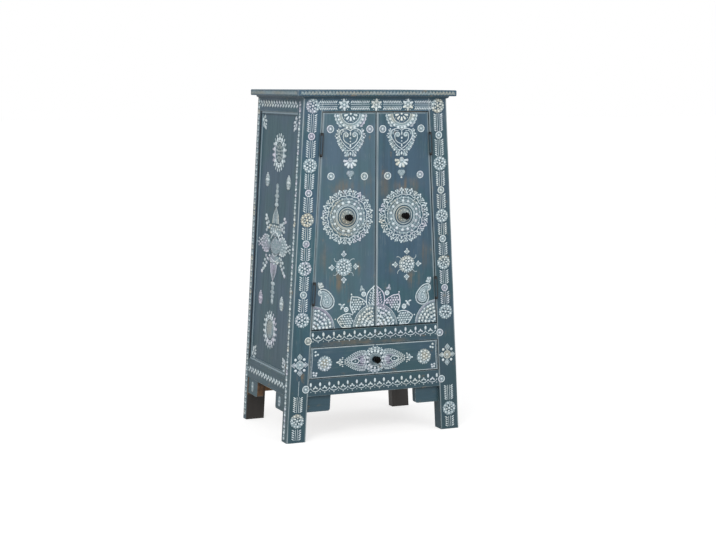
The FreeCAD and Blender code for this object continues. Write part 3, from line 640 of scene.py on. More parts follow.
def slip_tree():
    """The raised slip: half-round cords along the trails, low domes at the dabs."""
    tree = bpy.data.node_groups.new("raised slip", "GeometryNodeTree")
    sockets = (("Drawing", "NodeSocketGeometry"), ("Cord height", "NodeSocketFloat"),
               ("Cord sides", "NodeSocketInt"), ("Hand wobble", "NodeSocketFloat"),
               ("Dab sides", "NodeSocketInt"), ("Slip", "NodeSocketMaterial"))
    for title, kind in sockets:
        tree.interface.new_socket(title, in_out="INPUT", socket_type=kind)
    tree.interface.new_socket("Ornament", in_out="OUTPUT", socket_type="NodeSocketGeometry")
    given = tree.nodes.new("NodeGroupInput").outputs
    named = "GeometryNodeInputNamedAttribute"
    width, turn, load = (node(tree, named, {"data_type": "FLOAT"}, Name=name).outputs[0]
                         for name in ("width", "turn", "load"))
    size = node(tree, named, {"data_type": "FLOAT_VECTOR"}, Name="size").outputs[0]
    is_trail = node(tree, "FunctionNodeCompare", {"operation": "GREATER_THAN"})
    tree.links.new(width, is_trail.inputs[0])
    split = node(tree, "GeometryNodeSeparateGeometry", {"domain": "POINT"},
                 Geometry=given["Drawing"], Selection=is_trail.outputs[0])
    place = node(tree, "GeometryNodeInputPosition").outputs[0]
    waver = node(tree, "ShaderNodeTexNoise", Vector=place, Scale=0.06, Detail=1.0).outputs["Color"]
    centred = vectors(tree, "SUBTRACT", waver, (0.5, 0.5, 0.5))
    shift = node(tree, "ShaderNodeVectorMath", {"operation": "SCALE"}, Scale=given["Hand wobble"])
    tree.links.new(centred, shift.inputs[0])
    in_plane = vectors(tree, "MULTIPLY", shift.outputs[0], (1.0, 1.0, 0.0))
    wavering = node(tree, "GeometryNodeSetPosition", Geometry=split.outputs[0], Offset=in_plane)
    lines = node(tree, "GeometryNodeMeshToCurve", Mesh=wavering.outputs[0])
    upright = node(tree, "GeometryNodeSetCurveNormal", {"mode": "Z_UP"}, Curve=lines.outputs[0])
    arch = node(tree, "GeometryNodeCurveArc", Resolution=given["Cord sides"], Radius=1.0,
                Start_Angle=math.pi, Sweep_Angle=math.pi)
    shut = node(tree, "GeometryNodeSetSplineCyclic", Geometry=arch.outputs[0], Cyclic=True)
    squeeze = node(tree, "ShaderNodeCombineXYZ", X=1.0, Y=given["Cord height"], Z=1.0)
    section = node(tree, "GeometryNodeTransform", Geometry=shut.outputs[0], Scale=squeeze.outputs[0])
    uneven = node(tree, "ShaderNodeTexNoise", Vector=place, Scale=0.35, Detail=1.0).outputs[0]
    swell = node(tree, "ShaderNodeMapRange", **{"Value": uneven, "From Min": 0.3, "From Max": 0.7,
                                               "To Min": 0.40, "To Max": 0.60}).outputs[0]
    cords = node(tree, "GeometryNodeCurveToMesh", Curve=upright.outputs[0], Profile_Curve=section.outputs[0],
                 Scale=sums(tree, "MULTIPLY", width, swell), Fill_Caps=True)
    thick = node(tree, "ShaderNodeMapRange", **{"Value": load, "From Min": 0.0, "From Max": 0.5,
                                                "To Min": 0.13, "To Max": 1.0}).outputs[0]
    flatter = node(tree, "ShaderNodeCombineXYZ", X=1.0, Y=1.0, Z=thick)
    pressed = vectors(tree, "MULTIPLY", place, flatter.outputs[0])
    cords = node(tree, "GeometryNodeSetPosition", Geometry=cords.outputs[0], Position=pressed)
    ball = node(tree, "GeometryNodeMeshUVSphere", Segments=given["Dab sides"], Rings=4, Radius=1.0)
    spot = node(tree, "ShaderNodeSeparateXYZ", Vector=place)
    above = sums(tree, "MAXIMUM", spot.outputs[2], -0.05)
    level = node(tree, "ShaderNodeCombineXYZ", X=spot.outputs[0], Y=spot.outputs[1], Z=above)
    dome = node(tree, "GeometryNodeSetPosition", Geometry=ball.outputs[0], Position=level.outputs[0])
    about = node(tree, "ShaderNodeCombineXYZ", Z=turn)
    turned_by = node(tree, "FunctionNodeEulerToRotation", Euler=about.outputs[0])
    dabs = node(tree, "GeometryNodeInstanceOnPoints", Points=split.outputs[1], Instance=dome.outputs[0],
                Rotation=turned_by.outputs[0], Scale=size)
    both = tree.nodes.new("GeometryNodeJoinGeometry")
    tree.links.new(dabs.outputs[0], both.inputs[0])
    tree.links.new(cords.outputs[0], both.inputs[0])
    real = node(tree, "GeometryNodeRealizeInstances", Geometry=both.outputs[0])
    smooth = node(tree, "GeometryNodeSetShadeSmooth", Geometry=real.outputs[0])
    final = node(tree, "GeometryNodeSetMaterial", Geometry=smooth.outputs[0], Material=given["Slip"])
    tree.links.new(final.outputs[0], tree.nodes.new("NodeGroupOutput").inputs[0])
    return tree


def white_slip(name, grime):
    """Chalky off-white, in places creamy or lilac. A thin wash of it lets the paint show through."""
    material = bpy.data.materials.new(name)
    material.use_nodes = True
    tree = material.node_tree
    shader = tree.nodes["Principled BSDF"]
    place = node(tree, "ShaderNodeTexCoord").outputs["Object"]
    load = node(tree, "ShaderNodeAttribute", {"attribute_name": "load"}).outputs["Fac"]
    tint = noise(tree, place, 11.0, 2.0)
    dirt = noise(tree, place, 130.0, 4.0)
    streak = noise(tree, place, 260.0, 3.0)
    warmth = node(tree, "ShaderNodeAttribute", {"attribute_name": "warmth"}).outputs["Fac"]
    warmth = sums(tree, "ADD", warmth, between(tree, tint, 0.36, 0.64, -0.45, 0.45))
    cream, lilac = between(tree, warmth, 0.1, 1.1), between(tree, warmth, -1.1, -0.1, 1.0, 0.0)
    thick = blend(tree, lilac, shade(220, 232, 236), shade(218, 214, 230))
    thick = blend(tree, cream, thick, shade(230, 230, 216))
    thin = blend(tree, lilac, shade(140, 162, 170), shade(150, 148, 168))
    thin = blend(tree, cream, thin, shade(158, 155, 140))
    thin = blend(tree, between(tree, streak, 0.44, 0.62, 0.0, 0.55), thin, shade(84, 104, 114))
    colour = blend(tree, between(tree, load, 0.0, 1.0), thin, thick)
    colour = blend(tree, between(tree, dirt, 0.50, 0.72, grime, grime + 0.5), colour, shade(104, 122, 128))
    tree.links.new(colour, shader.inputs["Base Color"])
    tree.links.new(between(tree, dirt, 0.3, 0.7, 0.45, 0.7), shader.inputs["Roughness"])
    bump = node(tree, "ShaderNodeBump", Height=noise(tree, place, 700.0), Strength=0.3, Distance=0.0003)
    tree.links.new(bump.outputs[0], shader.inputs["Normal"])
    return material


raised_slip = slip_tree()
white = white_slip("white slip", 0.0)


def lay(slip, name, body, matrix, coat=white):
    """Raises a drawing into slip and lays it on its board."""
    drawing = bpy.data.meshes.new(name + "_drawing")
    drawing.from_pydata(slip.points, slip.links, [])
    drawing.attributes.new("width", "FLOAT", "POINT").data.foreach_set("value", slip.widths)
    drawing.attributes.new("turn", "FLOAT", "POINT").data.foreach_set("value", slip.turns)
    drawing.attributes.new("load", "FLOAT", "POINT").data.foreach_set("value", slip.loads)
    drawing.attributes.new("warmth", "FLOAT", "POINT").data.foreach_set("value", slip.warmths)
    flat = [value for size in slip.sizes for value in size]
    drawing.attributes.new("size", "FLOAT_VECTOR", "POINT").data.foreach_set("vector", flat)
    hand = bpy.data.objects.new(name + "_drawing", drawing)
    bpy.context.scene.collection.objects.link(hand)
    modifier = hand.modifiers.new("raised slip", "NODES")
    modifier.node_group = raised_slip
    settings = {"Cord height": 0.75, "Cord sides": 5, "Hand wobble": 1.1, "Dab sides": 8, "Slip": coat}
    for item in raised_slip.interface.items_tree:
        if item.in_out == "INPUT" and item.name in settings:
            modifier[item.identifier] = settings[item.name]
    hand.update_tag()
    seen = hand.evaluated_get(bpy.context.evaluated_depsgraph_get())
    mesh = bpy.data.meshes.new_from_object(seen)
    mesh.name = name
    hand.modifiers.remove(modifier)
    bpy.data.objects.remove(hand)
    mesh.transform(matrix)
    if matrix.determinant() < 0:
        mesh.flip_normals()
    ornament = bpy.data.objects.new(name, mesh)
    bpy.context.scene.collection.objects.link(ornament)
    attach(ornament, body)


def plane(origin, across, up, out):
    """Millimetres on a board to metres in the frame. The origin and the directions are the board's."""
    matrix = Matrix.Identity(4)
    for column, direction in enumerate((across, up, out)):
        for row in range(3):
            matrix[row][column] = direction[row] / 1000
    for row in range(3):
        matrix[row][3] = origin[row] / 1000
    return matrix


front_plane = plane((0, 1000 * front_y, 0), (1, 0, 0), (0, 0, 1), (0, -1, 0))

# Ornament of the frame's front: tick columns with rosettes up both posts, flowers on the top rail,
# two rows of hanging scallops on the rails above and below the drawer.


def post_middle(z):
    return -(floor_half - lean * z - post_width / 2)


front = Slip(4)
for front.side in (1, -1):
    flowers = [(1051, 23), (868, 23), (700, 22), (549, 23), (388, 24)]
    small = [958, 783, 626, 467]
    for z, radius in flowers:
        rosette(front, post_middle(z), z, radius)
    for z in small:
        ring_dot(front, post_middle(z), z, 11.5)
    stops = sorted([(z, radius + 1.5) for z, radius in flowers] + [(z, 12.5) for z in small])
    for (low, low_gap), (high, high_gap) in zip(stops, stops[1:]):
        start, end = low + low_gap, high - high_gap
        ticks(front, (post_middle(start), start), (post_middle(end), end))
    star(front, post_middle(247), 247)
    if front.side > 0:
        front.at(post_middle(172), 172, 90 - math.degrees(math.atan(lean)))
        front.trail([(-24, 0), (0, 0.4), (24, 0)], 1.3, load=0.6)
    ticks(front, (post_middle(97), 97), (post_middle(146), 146))
    rosette(front, post_middle(69), 69, 23)
    ticks(front, (post_middle(8), 8), (post_middle(43), 43))
    ring_dot(front, -229, 321, 12)
    ring_dot(front, -237, 168, 12)
    six_petals(front, -109, 1055)
    ticks(front, (-192, 1053), (-132, 1053), 10.5, 5.8)
    ticks(front, (-87, 1053), (-23, 1053), 10.5, 5.8)
front.side = 1
six_petals(front, 0, 1055)
swags(front, -213, 213, 328, 12, 339)
swags(front, -220, 220, 168, 14, 181)
lay(front, "slip_on_frame_front", "carcase", front_plane)

# Ornament of the doors: half a mandala and a heart of lace at the top, a lace mandala round the
# knob, a small star flower, and below a paisley and half a lotus that the two doors share.


def big_mandala(slip):
    """The lace mandala, its middle at the knob."""
    knob_spot = (-97.5, 706)
    slip.at(*knob_spot)
    slip.warm = 0.9
    slip.wash(0, 0, 46)
    beads(slip, 16.5, 9, 4.6, load=0.7)
    ring(slip, 20.6, 1.4, load=0.45)
    ring(slip, 27.0, 3.2, load=0.35)
    slip.warm = 0.3
    ring(slip, 37.0, 4.4, load=0.0)
    ring(slip, 34.6, 1.9, load=0.75)
    ring(slip, 39.0, 1.7, load=0.65)
    ring(slip, 45.4, 5.2, load=0.0)
    slip.warm = 0.0
    beads(slip, 45.6, 15, 10.0)
    ring(slip, 50.8, 1.3, load=0.45)
    slip.warm = 0.3
    ring(slip, 56.8, 5.0, load=0.0)
    lace(slip, 53, 63, 44)
    beads(slip, 57.0, 22, 5.0, load=0.8, loose=2.0)
    lace(slip, 67, 87, 50)
    ring(slip, 63.8, 1.9, lobes=15, depth=4.0, load=0.85)
    for angle in spread(15, 0, 360):
        slip.at(*knob_spot, angle)
        slip.warm = slip.chance.uniform(-0.3, 0.3)
        slip.wash(73, 0, 11, 9)
        arch = [polar(66 + 14.5 * math.sin(math.pi * step / 12) ** 0.8, 9.0 * math.cos(math.pi * step / 12))
                for step in range(13)]
        slip.trail(arch, 1.5, load=0.75)
        slip.dab(73.0, 0, 8.0, 5.6)
        slip.wash(84, 0, 7, 12)
        trefoil(slip, 86.0, 0, 5.6)
        slip.at(*knob_spot, angle + 12)
        slip.dab(75.5, 0, 9.5, 4.8, load=0.8)
        slip.wash(83, 0, 8, 11)
        for way in (-1, 1):
            slip.dab(82.0, way * 3.8, 7.5, 4.2, way * 28, 0.85)
    slip.warm = 0.0


def crown(slip):
    """The half mandala that hangs from the door's top."""
    slip.at(-87, 1027)
    slip.warm = 0.2
    slip.dab(0, -0.5, 7.5)
    for angle in (195, 233, 270, 307, 345):
        slip.dab(*polar(15.5, angle), 13, 6.0, angle)
        slip.dab(*polar(19.5, angle), 8.6)
        slip.dab(*polar(24.5, angle + 18), 4.0, load=0.5)
    ring(slip, 34.6, 6.4, 181, 359, load=0.0)
    ring(slip, 30.6, 1.8, 180, 360, load=0.7)
    ring(slip, 38.6, 1.8, 181, 359, load=0.75)
    slip.warm = 0.0
    ring(slip, 43.5, 6.4, 182, 358, load=0.0)
    beads(slip, 43.6, 11, 8.8, 180, 360)
    slip.warm = -0.4
    for start, end in ((181, 232), (308, 359)):
        ring(slip, 51.0, 5.0, start, end, load=0.0)
        ring(slip, 50.5, 1.7, start, end, 4, 4.5, 0.7)
        beads(slip, 52.0, 4, 4.6, start, end, 0.8)
    slip.warm = 0.0


def lace_heart(slip):
    slip.at(-88, 0)
    for way in (1, -1):
        def half(points):
            return [(way * x, y) for x, y in flowing(points)]
        for x, y, length, width, turn in ((-38, 968, 22, 16, 75), (-40, 950, 24, 13, 100),
                                          (-33, 932, 26, 13, 125), (-20, 917, 24, 13, 135),
                                          (-14, 961, 20, 17, 0), (-10, 901, 18, 13, 80)):
            slip.wash(way * x, y, length, width, way * turn)
        slip.trail(half([(0, 974), (-9, 979.5), (-22, 980), (-33, 975), (-38, 966), (-36, 955), (-30, 944),
                         (-20, 932), (-10, 923), (0, 917)]), 2.0, load=0.9)
        slip.trail(half([(-4, 933), (-11, 936), (-19, 942), (-23, 950), (-24, 960), (-20.5, 966.5),
                         (-13.5, 968.5), (-8, 963.5), (-10.5, 956.5), (-16, 957.5), (-16.5, 961.5)]), 2.2,
                   load=0.8)
        slip.trail(half([(-30, 962), (-29, 969), (-22, 973.5), (-12, 973)]), 1.5, load=0.6)
        for x, y, turn, load in ((-43, 974, 130, 0.9), (-46.5, 964, 170, 0.7), (-45.5, 953, 195, 0.95),
                                 (-42, 942.5, 205, 0.75), (-37.5, 932, 215, 0.95), (-31.5, 922.5, 220, 0.75),
                                 (-25, 914, 225, 0.9), (-18, 906.5, 230, 0.7)):
            slip.dab(way * x, y, 9.0, 5.4, way * turn, load)
        for x, y, load in ((-40, 957, 0.7), (-36.5, 946.5, 0.9), (-31, 937, 0.7), (-24.5, 928, 0.9),
                           (-17.5, 920, 0.7), (-9.5, 913.5, 0.9), (-39.5, 979, 0.8), (-25, 975.5, 0.7),
                           (-50.5, 958, 0.6), (-41, 936, 0.6), (-35, 926, 0.6), (-29, 917, 0.6)):
            slip.dab(way * x, y, 4.8, load=load)
        slip.trail(half([(0, 914), (-6, 912), (-11, 906), (-13.5, 899), (-15, 894)]), 1.8, load=0.75)
        slip.dab(way * -17.5, 898, 8, 5, way * 70, 0.7)
        slip.dab(way * -7, 899, 9, 4, way * 80, 0.6)
    slip.dab(0, 965.5, 15, 5, 90, 0.75)
    slip.dab(0, 951, 7.0)
    slip.dab(0, 941, 5.0, load=0.7)
    slip.dab(0, 928, 13, 5.8, 90)
    slip.dab(0, 903, 12, 5.8, 90)


def fan_flower(slip):
    slip.at(-88, 880)
    slip.wash(0, -8, 36, 24)
    for angle, warm, load in ((178, -0.2, 0.75), (213, 0.2, 1.0), (249, 0.5, 0.8), (286, -0.2, 1.0),
                              (323, 0.6, 0.9), (2, 0.4, 0.7)):
        slip.at(-88, 880, angle)
        slip.warm = warm
        slip.dab(15, 0, 18.5, 7.6, 0, load)
        slip.dab(20, 0, 8.4, 9.6, 0, load)
    slip.warm = 0.0
    slip.at(-88, 884)
    ring(slip, 5.2, 2.2)
    slip.dab(0, 0, 5.0)
    slip.at(-88, 840)
    slip.wash(0, 0, 24, 22)
    for x, y, turn in ((-7.5, 4, 60), (7.5, 4, 120), (0, -4, 90)):
        slip.dab(x, y, 16, 11.0, turn, 0.28)
    slip.dab(0, -13.5, 7.0, 6.0)


def star_flower(slip):
    slip.at(-109, 549)
    slip.warm = 0.3
    slip.wash(0, 0, 15)
    ring(slip, 20.4, 8.4, load=0.0)
    petals(slip, 17, 28, 12, 11.0, load=0.0)
    slip.dab(0, 0, 8.0)
    beads(slip, 10.6, 7, 7.4)
    beads(slip, 19.6, 11, 8.0, load=0.95)
    beads(slip, 15.6, 11, 3.6, 16, 376, 0.7)
    beads(slip, 25.6, 22, 4.4, load=0.7)
    slip.warm = 0.0
    for angle in (38, 142, 218, 322):
        slip.at(-109, 549, angle)
        slip.trail(flowing([(26, 0), (33, 2.5), (40, 0.5), (43, -3.5)]), 1.7, load=0.5)
    for angle in (0, 90, 180, 270):
        slip.at(-109, 549, angle)
        slip.wash(40, 0, 15, 13)
        slip.trail([(32, 0), (40, 7.4), (48, 0), (40, -7.4)], 2.0, True, 0.9)
        slip.dab(48.5, 0, 6.4)
        slip.dab(39.5, 0, 6.0, 5.0, load=0.4)
        for way in (-1, 1):
            slip.dab(40, way * 7.0, 6.0, 5.0, way * 40, 0.85)


def paisley(slip):
    slip.at(0, 0)
    for x, y, length, width, turn in ((-165, 441, 46, 42, 100), (-168, 458, 34, 30, 130),
                                      (-178, 468, 24, 20, 160)):
        slip.dab(x, y, length, width, turn, 0.08)
    slip.wash(-190, 471, 12, 16)
    slip.trail(flowing([(-189, 481), (-178, 482), (-165, 477), (-154, 467), (-145, 454), (-142, 442),
                        (-145, 429), (-155, 420), (-168, 417.5), (-179, 421), (-186, 431), (-187, 443),
                        (-184, 456), (-185, 462), (-191, 463), (-194, 470), (-191, 478), (-186, 474),
                        (-187, 468)]), 3.4, load=0.65)
    slip.trail(flowing([(-182, 475), (-171, 473), (-160, 464), (-151, 452), (-149, 441), (-153, 431),
                        (-162, 426), (-171, 426), (-178, 431), (-180, 441), (-177, 451)]), 2.0, load=0.6)
    slip.trail(flowing([(-174, 466), (-165, 462), (-158, 454), (-155, 444), (-158, 435), (-166, 432),
                        (-173, 436), (-174, 444), (-169, 451), (-164, 449)]), 2.2, load=0.65)
    slip.dab(-165.0, 441, 6.4)
    slip.dab(-171, 458, 8.6, 5.6, -30)
    slip.dab(-187, 472, 5.4)
    slip.wash(-188, 494, 20, 22)
    for x, y, turn, length in ((-193, 499, 100, 13), (-186, 498, 60, 14), (-182, 490, 20, 13),
                               (-190, 489, 95, 12)):
        slip.dab(x, y, length, 7.0, turn, 0.6)
    slip.dab(-184, 499, 5.4)


def ring_dot_small(slip, x, y, radius):
    slip.at(x, y)
    slip.wash(0, 0, radius * 2)
    slip.dab(0, 0, radius * 0.8)
    ring(slip, radius - 0.8, 3.2, load=0.95)


def lotus_half(slip):
    """The left half of the lotus, its middle on the joint of the doors."""
    slip.at(0, 0)
    slip.warm = -0.5 if slip.side < 0 else 0.2
    slip.trail(flowing([(-27, 419), (-30.5, 429), (-31.5, 440), (-30.5, 451), (-26.5, 462), (-20.5, 469.5),
                        (-14, 475.5), (-7.5, 481), (-3.4, 485)]), 2.9, load=0.95)
    for index in range(7):
        low = 424 + index * 8.0
        load = slip.chance.uniform(0.7, 1.0)
        slip.dab(-10.0 + index * 0.5, low + 4, 15 - index * 0.9, 4.2, 126 - index * 3, load)
        if index < 5:
            load = slip.chance.uniform(0.6, 1.0)
            slip.dab(-21.5 + index * 1.6, low + 7, 10.5 - index * 0.5, 4.4, 120, load)
        slip.dab(-4.6, low - 0.5, 4.6, load=0.85)
    second_top = [(-33, 433), (-40, 440), (-50, 446.5), (-61, 451.5), (-72, 452.5), (-80, 454)]
    slip.trail(flowing(second_top), 2.8, load=0.85)
    slip.trail(flowing([(-80.5, 457), (-84, 445), (-86, 430), (-84, 416), (-77, 400)]), 3.6, load=0.85)
    fill(slip, [(-78, 449), (-66, 448.5), (-52, 443.5), (-40, 436), (-36, 428), (-46, 419.5), (-58, 409),
                (-69, 401), (-76, 406), (-81.5, 420), (-82.5, 436)], 8.8, 7.2, 6.0, 60)
    slip.dab(-82.5, 461, 5.6)
    third_top = [(-78, 396), (-91, 400), (-102, 400), (-113, 396.5), (-124, 390), (-131, 383.5)]
    third_low = [(-131, 383.5), (-127, 375), (-121, 366), (-115, 359), (-108, 356), (-84, 355.5)]
    slip.trail(flowing(third_top), 2.8, load=0.85)
    slip.trail(flowing(third_low), 2.6, load=0.85)
    fill(slip, [(-125, 383), (-114, 392), (-100, 396), (-84, 394), (-77, 386), (-79, 370), (-80, 358),
                (-106, 358.5), (-115, 364), (-122, 374)], 8.6, 8.4, 4.4, 150)
    slip.dab(-137.5, 385, 5.0)
    slip.at(0, 352)
    for radius, count in ((12, 2), (25, 4), (38, 6), (51, 7), (64, 9)):
        ring(slip, radius, 6.2, 90 + math.degrees(7.0 / radius), 177, load=0.0)
        beads(slip, radius, count, 8.0, 90 + math.degrees(5.5 / radius), 177, loose=1.8)
    for inner in (16, 28, 41, 54):
        lace(slip, inner, inner + 7, round(inner / 3.2), 90 + math.degrees(4.5 / inner), 176)
    slip.warm = -0.5 if slip.side < 0 else 0.2
    ring(slip, 71.0, 3.4, 93, 176, load=0.0)
    ring(slip, 74.5, 2.0, 93, 176, 13, 2.0, load=0.65)
    slip.at(0, 0)
    for x, y, length, width, turn in ((-47.5, 481, 16, 8, 100), (-43, 475, 16, 8, 150),
                                      (-50, 474, 14, 8, 75)):
        slip.dab(x, y, length, width, turn, 0.3)
    slip.dab(-45, 477, 9, 4, 120, 0.8)
    slip.warm = 0.0
    ring_dot_small(slip, -40.5, 460, 7.2)
    ring_dot_small(slip, -100.5, 414, 7.2)
    slip.at(0, 0)
    slip.wash(-115, 425, 16, 12, 120)
    for x, y, turn in ((-122, 431.5, 170), (-109, 429.5, 30), (-117, 419, 60), (-112, 423, 110)):
        slip.dab(x, y, 11, 5.6, turn, 0.85)


def corner_mandala(slip):
    """The quarter of a mandala in the door's lower hinge corner."""
    slip.at(-216, 354)
    for radius, count, size in ((13, 2, 8.0), (26, 3, 8.6), (38.5, 5, 8.8), (51, 6, 8.8), (63, 8, 8.4)):
        ring(slip, radius, 6.8, 6, 82, load=0.0)
        beads(slip, radius, count, size, 2, 85, loose=1.6)
    for radius, count in ((19.5, 4), (32.5, 7), (45, 9), (57, 12)):
        lace(slip, radius - 3, radius + 3, count, 5, 83, 5.5)
    slip.warm = -0.9
    ring(slip, 71.5, 5.6, 2, 86, load=0.1)
    slip.warm = 0.0
    ring(slip, 75.5, 1.5, 2, 86, load=0.6)


for side, way in (("left", 1), ("right", -1)):
    door = Slip(11 + way)
    door.side, door.low = way, 356.0
    big_mandala(door)
    crown(door)
    lace_heart(door)
    fan_flower(door)
    star_flower(door)
    paisley(door)
    lotus_half(door)
    corner_mandala(door)
    for x, z in ((-155, 980), (-22, 979), (-153, 834), (-40, 832)):
        ring_dot(door, x, z, 12)
    lay(door, "slip_on_" + side + "_door", side + "_door", front_plane)

# Ornament of the drawer: a thin line near the rim, a lace lens with a sun round the knob,
# and one creamy rosette at each end.


def drawer_half(slip):
    slip.at(0, 0)
    edge = [(-3, 202.8), (-110, 202.8), (-219, 202.8), (-215.5, 250), (-213, 295.5), (-110, 295.5),
            (-3, 295.5)]
    slip.trail(edge, 1.4, load=0.7)
    for x, z in ((-204, 285), (-196, 276), (-204, 274), (-210, 211), (-201, 217), (-211, 219), (-203, 210)):
        slip.wash(x, z, 10, 9)
        slip.dab(x, z, 7.5, 5.5, 40)
    rosette(slip, -173, 246, 25)
    slip.at(-173, 246)
    slip.warm = 1.0
    slip.wash(0, 0, 36)
    slip.warm = 0.0

    def lid(tip, high, share, way):
        """A point on the lid of the long eye, between its tip and the knob."""
        return tip + (-30 - tip) * share, way * high * math.sin(math.pi * 0.60 * share)

    slip.at(0, 247)
    for way in (-1, 1):
        for tip, high, line, load in ((-106, 27.5, 1.8, 0.75), (-93, 19, 1.6, 0.65)):
            slip.trail([lid(tip, high, step / 18, way) for step in range(19)], line, load=load)
        slip.trail(flowing([(-83, 0), (-77, way * 5.5), (-68, way * 8), (-60, way * 6.5), (-55, 0)]), 2.0,
                   load=0.95)
        for index in range(12):
            slip.dab(*lid(-98.5, 22.5, 0.06 + index * 0.082, way), 4.8, load=0.7)
            x, y = lid(-105, 27, 0.04 + index * 0.082, way)
            slip.dab(x - 1.5, y + way * 4.6, 5.6, 4.4, way * (64 - index * 5), 0.7)
        slip.warm = -0.5
        for index in range(8):
            x, y = lid(-90, 13.5, 0.14 + index * 0.110, way)
            slip.wash(x, y, 8, 6)
            slip.dab(x, y, 4.6, 3.8, way * 30, load=0.5)
        slip.warm = 0.0
    slip.warm = -0.8
    slip.dab(-43, 0, 24, 24, 0, 0.1)
    slip.warm = 0.0
    for x, y in ((-52, 0), (-44, 6), (-44, -6), (-37, 0), (-36, 12), (-36, -12)):
        slip.dab(x, y, 5.0, 4.0, load=0.6)
    slip.dab(-68, 0, 7, 4.2, 0, 0.7)
    slip.wash(-121, 0, 20, 12)
    slip.dab(-130, 0, 8, 6)
    slip.dab(-114, 0, 9, 5.6)
    for way in (-1, 1):
        slip.trail(flowing([(-126, way * 2), (-118, way * 7), (-110, way * 8)]), 1.9)
        slip.dab(-121, way * 9.0, 6, 4.4, way * 30)
        slip.dab(-112, way * 13.5, 6.5, 4.6, way * 30)


drawer = Slip(7)
for drawer.side in (1, -1):
    drawer_half(drawer)
drawer.side = 1
drawer.at(0, 248)
ring(drawer, 38.0, 5.0, load=0.0)
for radius, load in ((12.4, 0.4), (16.4, 0.5), (20.4, 0.75)):
    ring(drawer, radius, 1.5, load=load)
beads(drawer, 27.0, 14, 9.6)
ring(drawer, 33.0, 1.7, load=0.9)
petals(drawer, 34.2, 41.4, 18, 6.8, load=0.85)
beads(drawer, 42.6, 18, 3.8, 10, 370, 0.8)
lay(drawer, "slip_on_drawer", "drawer", front_plane)

# Ornament of the sides: a strip of dabs up the posts, rows along the rails, and on the panel
# two medallions, four rosettes and a long star of petals and sprays in the middle.


def medallion(slip, x, y, plain):
    slip.at(x, y)
    if plain:
        slip.warm = 0.2
        for turn in (0, 18):
            slip.dab(0, 0, 66, None, turn, 0.08)
        for up in (-18, -6, 6, 18):
            slip.dab(slip.chance.uniform(-6, 6), up, 26, 5, 0, 0.2)
    else:
        slip.warm = 0.0
        ring(slip, 22, 4, load=0.0)
        beads(slip, 6, 4, 8, load=0.4)
        for radius, count in ((16, 8), (27, 12)):
            petals(slip, radius - 4.5, radius + 4.5, count, 6.4, load=0.4)
    slip.warm = -0.4
    ring(slip, 44, 8, load=0.0)
    ring(slip, 36.0, 3.0, load=0.75)
    petals(slip, 37, 52, 14, 15.0, load=1.0)
    for index in range(20):
        angle = 18 * index + 9
        slip.wash(*polar(55, angle), 14, 10, angle)
        slip.dab(*polar(57, angle), 12.5, 9.4, angle, 0.75 if index % 2 else 0.5)
    slip.warm = 0.0


def spray(slip, x, y, turn, length, pairs):
    """A stem with leaves in pairs and a leaf at its tip."""
    slip.at(x, y, turn)
    slip.trail(flowing([(0, 0), (length * 0.5, 3), (length, 0)]), 2.2, load=0.6)
    slip.dab(length + 4, 0, 16, 9)
    for index in range(pairs):
        reach = length * (index + 0.6) / pairs
        for way in (-1, 1):
            slip.dab(reach, way * 7.5, 14, 7, way * 38, 0.85)


